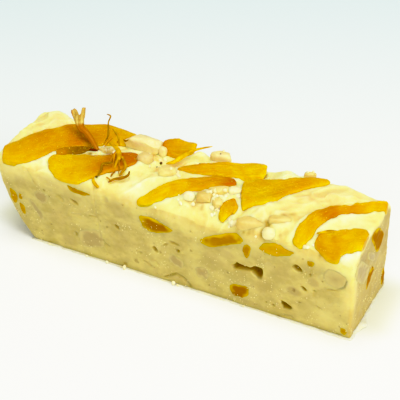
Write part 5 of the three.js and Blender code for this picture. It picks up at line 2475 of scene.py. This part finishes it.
@dataclass(frozen=True)
class WaferPaper:
    """The thin edible sheet under the nougat, with a ragged edge and a loose flap."""

    thickness: float = 0.4
    overhang: float = 0.28
    raggedness: float = 0.45
    flap_y: float = -6.5
    flap_reach: float = 1.6
    flap_spread: float = 2.6
    flap_rise: float = 0.35
    edge_droop: float = 0.12
    underside: float = 0.02
    closed_share: float = 0.98
    foot_height: float = 0.7
    per_mm: float = 3.0
    rings: int = 8

    def build(self) -> bpy.types.Object:
        """Makes the sheet from rings that follow its edge inwards.

        Returns:
            The sheet.
        """
        left = float(FORM.left_end(np.array(self.foot_height)))
        right, front, rear = FORM.right_end, FORM.front, -FORM.front
        corners = [(left, front), (right, front), (right, rear), (left, rear)]
        edge = []
        for (ax, ay), (bx, by) in zip(corners, corners[1:] + corners[:1]):
            length = math.hypot(bx - ax, by - ay)
            out = np.array([(by - ay) / length, (ax - bx) / length])
            share = np.arange(0.0, 1.0, 1.0 / (length * self.per_mm))
            spot = np.array([ax, ay]) + share[:, None] * np.array([bx - ax, by - ay])
            reach = self.overhang + self.raggedness * 0.5 * layered(TORN_EDGE, *spot.T)
            if out[0] > 0.5:
                reach = reach + self.flap_reach * bell(spot[:, 1] - self.flap_y, self.flap_spread)
            edge.append(spot + reach[:, None] * out)
        outline = np.vstack(edge)
        middle = outline.mean(0)
        bottom, top = [], []
        for ring in range(self.rings):
            inset = 1.0 - (ring / (self.rings - 1)) ** 1.5 * self.closed_share
            flat = middle + (outline - middle) * inset
            loose = smooth_step(0.2, 1.6, flat[:, 0] - FORM.right_end)
            wave = self.flap_rise * loose * (1.0 + RELIEF(1.2, flat[:, 0], flat[:, 1], 90.0))
            droop = self.edge_droop if ring == 0 else 0.0
            top.append(np.column_stack([flat, self.thickness - droop + wave]))
            bottom.append(np.column_stack([flat, np.full(len(flat), self.underside + droop) + wave * 0.9]))
        return tube_object("wafer_sheet", np.array(bottom[::-1] + top))


# ------------------------------------------------------------------ scattered bits


@dataclass(frozen=True)
class Scatter:
    """Small bits that a geometry-node tree strews over a surface.

    squash is the form of a bit, roughness is how uneven it is, and fineness how often its triangles split.
    """

    name: str
    smallest: float
    largest: float
    per_square_mm: float
    seed: int
    squash: Point3 = (1.0, 0.8, 0.65)
    roughness: float = 0.28
    fineness: int = 2

    def _tree(self, material: bpy.types.Material) -> bpy.types.NodeTree:
        """Builds the tree: points on faces, an uneven ball on each, all made real.

        Args:
            material: What the bits are dressed in.

        Returns:
            The tree.
        """
        numbers = dict.fromkeys(("Density", "Smallest", "Largest", "Unevenness"), "Float")
        inputs = {"Geometry": "Geometry", **numbers, "Seed": "Int"}
        name = f"Strew {self.name}"
        tree, given, result = new_group(name, "GeometryNodeTree", inputs, {"Geometry": "Geometry"})
        cover = tree.add("GeometryNodeInputNamedAttribute", {"Name": "cover"}, data_type="FLOAT")
        density = tree.math("MULTIPLY", cover.outputs["Attribute"], given["Density"])
        surface = {"Mesh": given["Geometry"], "Density": density, "Seed": given["Seed"]}
        points = tree.add("GeometryNodeDistributePointsOnFaces", surface)
        ball = tree.add("GeometryNodeMeshIcoSphere", {"Radius": 0.5, "Subdivisions": self.fineness})
        shape = tree.add("ShaderNodeCombineXYZ", dict(enumerate(self.squash)))
        sizes = {2: given["Smallest"], 3: given["Largest"], "Seed": given["Seed"]}
        size = tree.add("FunctionNodeRandomValue", sizes, data_type="FLOAT")
        turns = {0: (-math.pi,) * 3, 1: (math.pi,) * 3, "Seed": given["Seed"]}
        turn = tree.add("FunctionNodeRandomValue", turns, data_type="FLOAT_VECTOR")
        laid = {
            "Points": points.outputs["Points"],
            "Instance": ball.outputs["Mesh"],
            "Rotation": turn.outputs[0],
            "Scale": tree.vector("SCALE", shape.outputs[0], size.outputs[1]),
        }
        strewn = tree.add("GeometryNodeInstanceOnPoints", laid)
        real = tree.add("GeometryNodeRealizeInstances", {"Geometry": strewn.outputs["Instances"]})
        place = tree.add("GeometryNodeInputPosition").outputs[0]
        noise_scale = tree.math("DIVIDE", 0.9, given["Largest"])
        bumps = tree.add("ShaderNodeTexNoise", {"Vector": place, "Scale": noise_scale})
        centred = tree.vector("SUBTRACT", bumps.outputs["Color"], (0.5, 0.5, 0.5))
        shift = tree.vector("SCALE", centred, tree.math("MULTIPLY", given["Unevenness"], given["Largest"]))
        uneven = {"Geometry": real.outputs["Geometry"], "Offset": shift}
        moved = tree.add("GeometryNodeSetPosition", uneven)
        dressed = {"Geometry": moved.outputs["Geometry"], "Material": material}
        tree.put(result["Geometry"], tree.add("GeometryNodeSetMaterial", dressed).outputs["Geometry"])
        return tree.tree

    def build(self, surface: bpy.types.Object, material: bpy.types.Material) -> bpy.types.Object:
        """Strews the bits and removes the surface that carried them.

        Args:
            surface: A temporary object with the attribute cover on it.
            material: What the bits are dressed in.

        Returns:
            The bits as one plain mesh.
        """
        group = self._tree(material)
        values = {
            "Density": self.per_square_mm / MM**2,
            "Smallest": self.smallest * MM,
            "Largest": self.largest * MM,
            "Unevenness": self.roughness,
            "Seed": self.seed,
        }
        strew = surface.modifiers.new("strew", "NODES")
        strew.node_group = group
        for item in group.interface.items_tree:
            if item.item_type == "SOCKET" and item.in_out == "INPUT" and item.name in values:
                strew[item.identifier] = values[item.name]
        surface.update_tag()
        evaluated = surface.evaluated_get(bpy.context.evaluated_depsgraph_get())
        mesh = bpy.data.meshes.new_from_object(evaluated)
        surface.modifiers.clear()
        bpy.data.objects.remove(surface)
        mesh.name = self.name
        return linked(self.name, mesh)


def joined_surface(
    pieces: Sequence[bpy.types.Object], cover: Callable[[Array, Array], Array]
) -> bpy.types.Object:
    """A temporary copy of several pieces as one mesh, with the attribute cover painted on.

    Args:
        pieces: The pieces to copy.
        cover: Gives each vertex's cover from its place and its normal.

    Returns:
        The temporary object.
    """
    work = bmesh.new()
    for piece in pieces:
        work.from_mesh(piece.data)
    mesh = bpy.data.meshes.new("surface")
    work.to_mesh(mesh)
    work.free()
    surface = linked("surface", mesh)
    normals = np.array([v.normal for v in mesh.vertices])
    paint(surface, "cover", cover(places(surface), normals))
    return surface


# Where crumbs gather on the front: x, z, spread.
FRONT_DRIFTS = (
    (-5.0, 15.0, 2.2), (-2.5, 13.0, 1.4), (6.0, 22.3, 1.5), (12.0, 23.6, 1.6), (-14.0, 15.0, 1.5),
    (16.0, 13.6, 1.4), (19.6, 9.4, 1.5), (24.5, 8.4, 1.6), (31.0, 11.0, 1.8), (22.0, 1.6, 2.0),
    (33.0, 3.6, 1.6), (-31.0, 16.6, 1.2), (28.0, 16.2, 1.2), (44.0, 3.0, 1.6),
)


def cut_crumb_cover(place: Array, normal: Array) -> Array:
    """Where crumbs cling: in loose drifts on the cut faces, most of them on the front and the right end.

    Args:
        place: The surface's vertices, one row each.
        normal: Their directions, one row each.

    Returns:
        The cover of each vertex, from 0 to 1.
    """
    x, y, z = place.T
    on_front = smooth_step(0.6, 0.9, -normal[:, 1]) * (y < FORM.front + 0.8)
    on_end = smooth_step(0.6, 0.9, normal[:, 0]) * (x > FORM.right_end - 2.0)
    drift = smooth_step(0.15, 0.75, RELIEF(4.5, x, y, z) + 0.75 * RELIEF(1.5, x, y, z))
    gathered = patches([(*drift_at, 1.0) for drift_at in FRONT_DRIFTS], x, z)
    on_back = smooth_step(0.6, 0.9, normal[:, 1]) * (y > -FORM.front - 0.8)
    on_left = smooth_step(0.6, 0.9, -normal[:, 0]) * (x < -FORM.lean_foot)
    shown = on_front * (0.01 + 0.3 * drift + gathered) + on_end * (0.1 + 0.8 * drift)
    return np.clip(shown + 0.35 * (on_back + on_left) * drift, 0.0, 1.0)


# Drifts of chipped nut on top: x, y, spread along x, spread along y, strength.
DRIFTS = (
    (10.5, -5.6, 3.6, 2.0, 1.0),
    (14.6, -8.6, 3.0, 1.6, 0.6),
    (4.0, -9.8, 3.0, 0.9, 0.5),
    (19.0, -11.2, 2.2, 1.2, 0.7),
    (-5.0, -12.6, 3.0, 0.5, 0.3),
    (-27.0, 1.8, 2.6, 1.4, 0.8),
    (-12.6, 4.0, 1.6, 2.4, 0.35),
    (-4.4, -0.6, 2.4, 1.4, 0.3),
    (38.0, -12.4, 4.0, 0.7, 0.35),
    (31.0, 12.0, 1.6, 0.8, 0.6),
    (5.0, 11.6, 2.0, 1.0, 0.3),
)


def top_crumb_cover(place: Array, normal: Array) -> Array:
    """Where chipped nut lies on top: in the drifts.

    Args:
        place: The surface's vertices, one row each.
        normal: Their directions, one row each.

    Returns:
        The cover of each vertex, from 0 to 1.
    """
    x, y, _ = place.T
    drifts = sum(s * bell(x - dx, sx) * bell(y - dy, sy) for dx, dy, sx, sy, s in DRIFTS)
    return np.clip(drifts, 0.0, 1.0) * smooth_step(0.5, 0.8, normal[:, 2])


# Larger loose bits: x, y, height of the middle above the nougat's top (or above the rest where it
# lies at the foot), size across, and whether it lies at the foot.
PALE_BITS = (
    (-14.0, -14.2, 0.8, 1.5, True), (-15.3, -14.1, 0.6, 0.7, True), (-20.0, -14.1, 0.6, 1.0, True),
    (2.0, -14.2, 0.7, 1.5, True), (3.4, -14.1, 0.5, 0.8, True), (-27.0, -14.1, 0.5, 0.8, True),
    (-40.0, -14.1, 0.5, 0.9, True), (24.0, -14.1, 0.5, 0.7, True),
    (11.5, -8.8, 0.3, 1.4, False), (6.0, -9.5, 0.3, 1.3, False), (13.6, -9.2, 0.3, 1.2, False),
    (18.6, -11.2, 0.2, 2.0, False), (17.6, -10.6, 0.3, 1.2, False), (12.8, -10.0, 0.2, 1.0, False),
    (-3.0, -10.0, 0.2, 1.0, False), (1.6, -9.6, 0.3, 0.9, False), (8.9, -4.6, 0.5, 1.6, False),
    (13.4, -4.4, 0.4, 1.5, False), (16.8, -3.6, 0.4, 1.2, False), (10.4, -5.2, 0.8, 1.2, False),
    (-13.0, 0.2, 0.3, 0.9, False), (-12.2, 4.8, 0.6, 1.0, False), (-10.4, 1.4, 0.4, 0.8, False),
    (-31.0, 0.9, 0.5, 1.2, False), (-29.6, 2.2, 0.6, 1.1, False), (-26.6, 1.6, 0.6, 1.3, False),
    (-25.2, 3.8, 0.7, 1.0, False), (26.6, -13.4, 0.2, 0.7, False), (40.6, -12.6, 0.4, 1.3, False),
    (42.0, -11.8, 0.3, 0.9, False), (31.4, 12.4, 2.2, 1.0, False), (-4.0, -12.6, 0.1, 0.8, False),
)
DARK_SPECKS = (
    (-11.0, 3.2, 0.7, 0.8, False), (-11.1, 1.0, 0.4, 0.5, False), (-0.5, 7.2, 0.5, 0.5, False),
    (4.0, 11.2, 3.0, 0.5, False), (-8.2, 4.6, 0.7, 0.4, False), (-23.9, -10.9, 1.0, 0.7, False),
)


def laid_bits(
    name: str, bits: Sequence[tuple[float, float, float, float, bool]], seed: int
) -> bpy.types.Object:
    """Uneven small bits at given places, as one piece.

    Args:
        name: Name of the piece.
        bits: Place, height, size across and whether the bit lies at the foot.
        seed: Seed of the bits' shapes.

    Returns:
        The piece.
    """
    unit, faces = ball_mesh(3)
    random = np.random.default_rng(seed)
    points, corners = [], []
    for number, (x, y, height, size, at_foot) in enumerate(bits):
        form = unit * random.uniform(0.65, 1.1, 3)
        bumps = 0.25 * RELIEF(0.7, *(form + 7.0 * number).T) + 0.12 * RELIEF(0.35, *form.T)
        form = form + unit * bumps[:, None]
        ground = 0.0 if at_foot else float(FORM.top(np.array(x), np.array(y)))
        points.append(form * size / 2.0 + np.array([x, y, ground + height]))
        corners.append(faces + number * len(unit))
    return make_object(name, np.vstack(points), np.vstack(corners))


# ------------------------------------------------------------------ studio


@dataclass(frozen=True)
class Softbox:
    """A soft area light."""

    name: str
    at: Point3
    aim: Point3
    size: float
    watts: float
    colour: Colour = (1.0, 1.0, 1.0)

    def build(self) -> None:
        """Hangs the light, at places in metres."""
        light = bpy.data.lights.new(self.name, "AREA")
        light.shape = "DISK"
        light.size = self.size
        light.energy = self.watts
        light.color = self.colour
        lamp = linked(self.name, light)
        lamp.location = self.at
        lamp.rotation_euler = (Vector(self.aim) - Vector(self.at)).to_track_quat("-Z", "Y").to_euler()


@dataclass
class Studio:
    """A pale floor with painted shadow next to the bar, soft light and the camera.

    Places are in metres, and floor_half, which is half the floor's side, in millimetres. shoulder and
    blue_toe are pairs of a given value and the value that is shown.
    """

    turn: float = 0.479
    elevation: float = 0.5731
    camera_at: Point3 = (0.11404, -0.21336, 0.17606)
    lens: float = 91.34
    sensor: float = 36.0
    floor_near: Colour = linear(250, 250, 240)
    floor_far: Colour = linear(226, 242, 239)
    # Painted shadow next to the bar, tinted warm as painted bounce light from the nougat.
    floor_painted_shadow: Colour = linear(214, 216, 178)
    floor_half: float = 1500.0
    far_from: float = -0.06
    far_at: float = 0.24
    bar_half: Point3 = (0.059, 0.008, 0.03)
    shadow_centre: Point3 = (-0.001, 0.004, 0.0)
    shadow_reach: float = 0.009
    shadow_share: float = 0.55
    sky: Colour = (1.0, 1.0, 1.0)
    sky_strength: float = 0.25
    lights: tuple[Softbox, ...] = (
        Softbox("overhead", (0.0, 0.0, 1.0), (0.0, 0.0, 0.01), 0.6, 6.1),
        Softbox("right", (0.825, -0.291, 0.485), (0.0, 0.0, 0.01), 0.5, 4.3),
        Softbox("front", (0.28, -0.75, 0.6), (0.0, 0.0, 0.01), 0.6, 3.4),
    )
    shoulder: tuple[Point2, ...] = (
        (0.0, 0.0), (0.4, 0.4), (0.75, 0.745), (0.95, 0.885), (1.15, 0.955), (1.4, 0.98), (1.5, 0.985),
    )
    blue_toe: tuple[Point2, ...] = ((0.02, 0.002), (0.05, 0.022), (0.1, 0.074), (0.2, 0.18), (0.4, 0.39))

    def build(self) -> None:
        """Sets up the camera, floor, world and lights."""
        scene = bpy.context.scene
        camera = bpy.data.cameras.new("camera")
        camera.lens = self.lens
        camera.sensor_width = self.sensor
        camera.sensor_fit = "HORIZONTAL"
        camera.clip_start = 0.01
        eye = linked("camera", camera)
        eye.location = self.camera_at
        eye.rotation_euler = (math.pi / 2 - self.elevation, 0.0, self.turn)
        scene.camera = eye
        scene.view_settings.view_transform = "Standard"
        scene.view_settings.look = "None"
        self._soft_highlights(scene.view_settings)
        self._floor()
        world = bpy.data.worlds.new("daylight")
        world.use_nodes = True
        background = world.node_tree.nodes["Background"]
        background.inputs["Color"].default_value = (*self.sky, 1.0)
        background.inputs["Strength"].default_value = self.sky_strength
        scene.world = world
        for light in self.lights:
            light.build()

    def _soft_highlights(self, view: bpy.types.ColorManagedViewSettings) -> None:
        """Bends the brightest values gently towards white, and the weakest blue to none.

        Args:
            view: The scene's view settings.
        """
        brightest = self.shoulder[-1][0]
        view.use_curve_mapping = True
        mapping = view.curve_mapping
        mapping.use_clip = False
        mapping.white_level = (brightest, brightest, brightest)
        curve = mapping.curves[3]
        curve.points[0].location = self.shoulder[0]
        curve.points[-1].location = (1.0, self.shoulder[-1][1])
        for given, shown in self.shoulder[1:-1]:
            curve.points.new(given / brightest, shown)
        blue = mapping.curves[2]
        for given, shown in self.blue_toe:
            blue.points.new(given / brightest, shown / brightest)
        mapping.update()

    def _floor(self) -> None:
        """A wide pale floor that turns a little cooler into the distance, with painted shadow next to the
        bar.
        """
        half = self.floor_half
        corners = np.array([(-half, -half, 0.0), (half, -half, 0.0), (half, half, 0.0), (-half, half, 0.0)])
        floor = make_object("floor", corners, np.array([[0, 1, 2, 3]]))
        tree = FinishTree("pale_floor")
        view_direction = (-math.sin(self.turn), math.cos(self.turn), 0.0)
        away = tree.vector("DOT_PRODUCT", tree.place, view_direction)
        colour = tree.blend(tree.ramp(away, self.far_from, self.far_at), self.floor_near, self.floor_far)
        # Painted shadow around the bar's ends and back, fading out a few millimetres from it.
        outside = tree.vector("ABSOLUTE", tree.vector("SUBTRACT", tree.place, self.shadow_centre))
        past = tree.vector("MAXIMUM", tree.vector("SUBTRACT", outside, self.bar_half))
        painted_shadow = tree.ramp(tree.vector("LENGTH", past), 0.0, self.shadow_reach, self.shadow_share, 0.0)
        tree.surface(tree.blend(painted_shadow, colour, self.floor_painted_shadow), 0.8, 0.1)
        floor.data.materials.append(tree.material)


# ------------------------------------------------------------------ the whole bar


@dataclass
class NougatBar:
    """All the pieces of the bar."""

    effects: Effects = field(default_factory=Effects)
    nougat: NougatBlock = field(default_factory=NougatBlock)
    strips: list[bpy.types.Object] = field(default_factory=list)
    nuts: list[bpy.types.Object] = field(default_factory=list)

    def build(self) -> None:
        """Builds and dresses the pieces in order."""
        body = self.nougat.build()
        finish_piece(body, NougatFinish().build(self.effects), ["nougat"])
        finish_piece(WaferPaper().build(), WaferFinish().build(self.effects), ["wafer_paper"])
        self._toppings()
        self._cut_pieces()
        self._petals()
        self._scattered(body)

    def _toppings(self) -> None:
        """Lays the strips and the chopped nuts on top."""
        fruit = FruitFinish().build(self.effects)
        # A darker copy of the fruit finish for the fold in the joint between two strips: its browner tone and
        # painted shade.
        folded = FruitFinish(
            name="folded_fruit",
            pale=linear(226, 150, 10),
            deep=linear(132, 84, 8),
            edge=linear(176, 116, 12),
        ).build(self.effects)
        for seed, strip in enumerate(STRIPS):
            piece = strip.build(seed)
            finish_piece(piece, folded if strip.name == "fold" else fruit, [strip.node])
            self.strips.append(piece)
        nut = NutFinish().build(self.effects)
        for seed, topping in enumerate(TOP_NUTS):
            piece = topping.build(seed)
            finish_piece(piece, nut, [topping.node])
            self.nuts.append(piece)

    def _cut_pieces(self) -> None:
        """Sets fruit and nuts into the cut faces."""
        fruit = FruitFinish(
            name="cut_fruit",
            pale=linear(212, 164, 2),
            deep=linear(156, 96, 1),
            edge=linear(204, 168, 26),
            gloss=0.6,
            relief=0.12,
            specular=0.06,
        ).build(self.effects)
        nut = NutFinish(
            name="cut_nut",
            pale=linear(188, 165, 96),
            deep=linear(170, 144, 78),
            edge=linear(204, 184, 104),
            gloss=0.42,
            relief=0.08,
        ).build(self.effects)
        for seed, piece in enumerate(inclusions()):
            material = fruit if piece.kind is Slot.FRUIT else nut
            finish_piece(piece.build(seed), material, [piece.node])

    def _petals(self) -> None:
        """Sets up the dried petals and threads."""
        petal = PetalFinish().build(self.effects)
        red = PetalFinish("red_petal", linear(130, 14, 6), linear(92, 6, 3)).build(self.effects)
        thread = PetalFinish("dried_thread", linear(214, 160, 18), linear(140, 98, 12)).build(self.effects)
        finishes = {"petal_red": red, "thread_hooked": thread, "thread_dark": thread, "thread_branch": thread}
        for seed, floret in enumerate(FLORETS):
            built = floret.build(seed)
            built.name = f"dried_{floret.name}"
            finish_piece(built, finishes.get(floret.name, petal), [floret.name])
        frayed = PetalFinish("frayed_petal", linear(232, 166, 6), linear(140, 80, 4)).build(self.effects)
        for seed, (name, paths) in enumerate(STRANDS.items()):
            finish_piece(strand_tangle(name, paths, seed), frayed)
        floret_skin = PetalFinish("floret_skin", linear(238, 220, 116), linear(176, 100, 2), flesh=0.1)
        finish_piece(Trumpet().build(), floret_skin.build(self.effects), ["petal_trumpet"])

    def _grain(
        self, name: str, pale: tuple[int, int, int], deep: tuple[int, int, int], gloss: float
    ) -> bpy.types.Material:
        """Makes the finish of a kind of small bits.

        Args:
            name: Name of the material.
            pale: Its light tone as it shows on a screen.
            deep: Its dark tone in the same way.
            gloss: How dull the bits are.

        Returns:
            The material.
        """
        return GrainFinish(name, linear(*pale), linear(*deep), gloss).build(self.effects)

    def _scattered(self, body: bpy.types.Object) -> None:
        """Strews sugar over the fruit and crumbs over the cut faces, and lays the larger bits down.

        Args:
            body: The nougat.
        """
        sugar = self._grain("sugar_crystal", (253, 226, 104), (248, 204, 40), 0.25)
        surface = joined_surface(self.strips, lambda place, normal: smooth_step(0.3, 0.8, normal[:, 2]))
        grains = Scatter("sugar_grains", 0.1, 0.36, 0.45, 5, fineness=1)
        finish_piece(grains.build(surface, sugar), sugar)
        crumb = self._grain("nougat_crumb", (240, 226, 158), (222, 204, 124), 0.6)
        surface = joined_surface([body], cut_crumb_cover)
        crumbs = Scatter("nougat_crumbs", 0.12, 0.5, 1.6, 9, fineness=1)
        finish_piece(crumbs.build(surface, crumb), crumb)
        surface = joined_surface([body, *self.nuts], top_crumb_cover)
        chippings = Scatter("nut_chippings", 0.3, 1.5, 0.9, 12, roughness=0.5)
        chipped = self._grain("chipped_nut", (255, 244, 196), (244, 226, 152), 0.5)
        finish_piece(chippings.build(surface, chipped), chipped)
        pale = self._grain("pale_bit", (252, 244, 196), (238, 218, 150), 0.5)
        dark = self._grain("dark_speck", (92, 60, 12), (48, 28, 6), 0.6)
        finish_piece(laid_bits("pale_bits", PALE_BITS, 3), pale)
        finish_piece(laid_bits("dark_specks", DARK_SPECKS, 4), dark)


def main() -> None:
    """Builds the bar and the studio round it."""
    logging.basicConfig(level=logging.INFO, format="%(name)s: %(message)s")
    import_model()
    NougatBar().build()
    Studio().build()


if __name__ == "__main__":
    main()
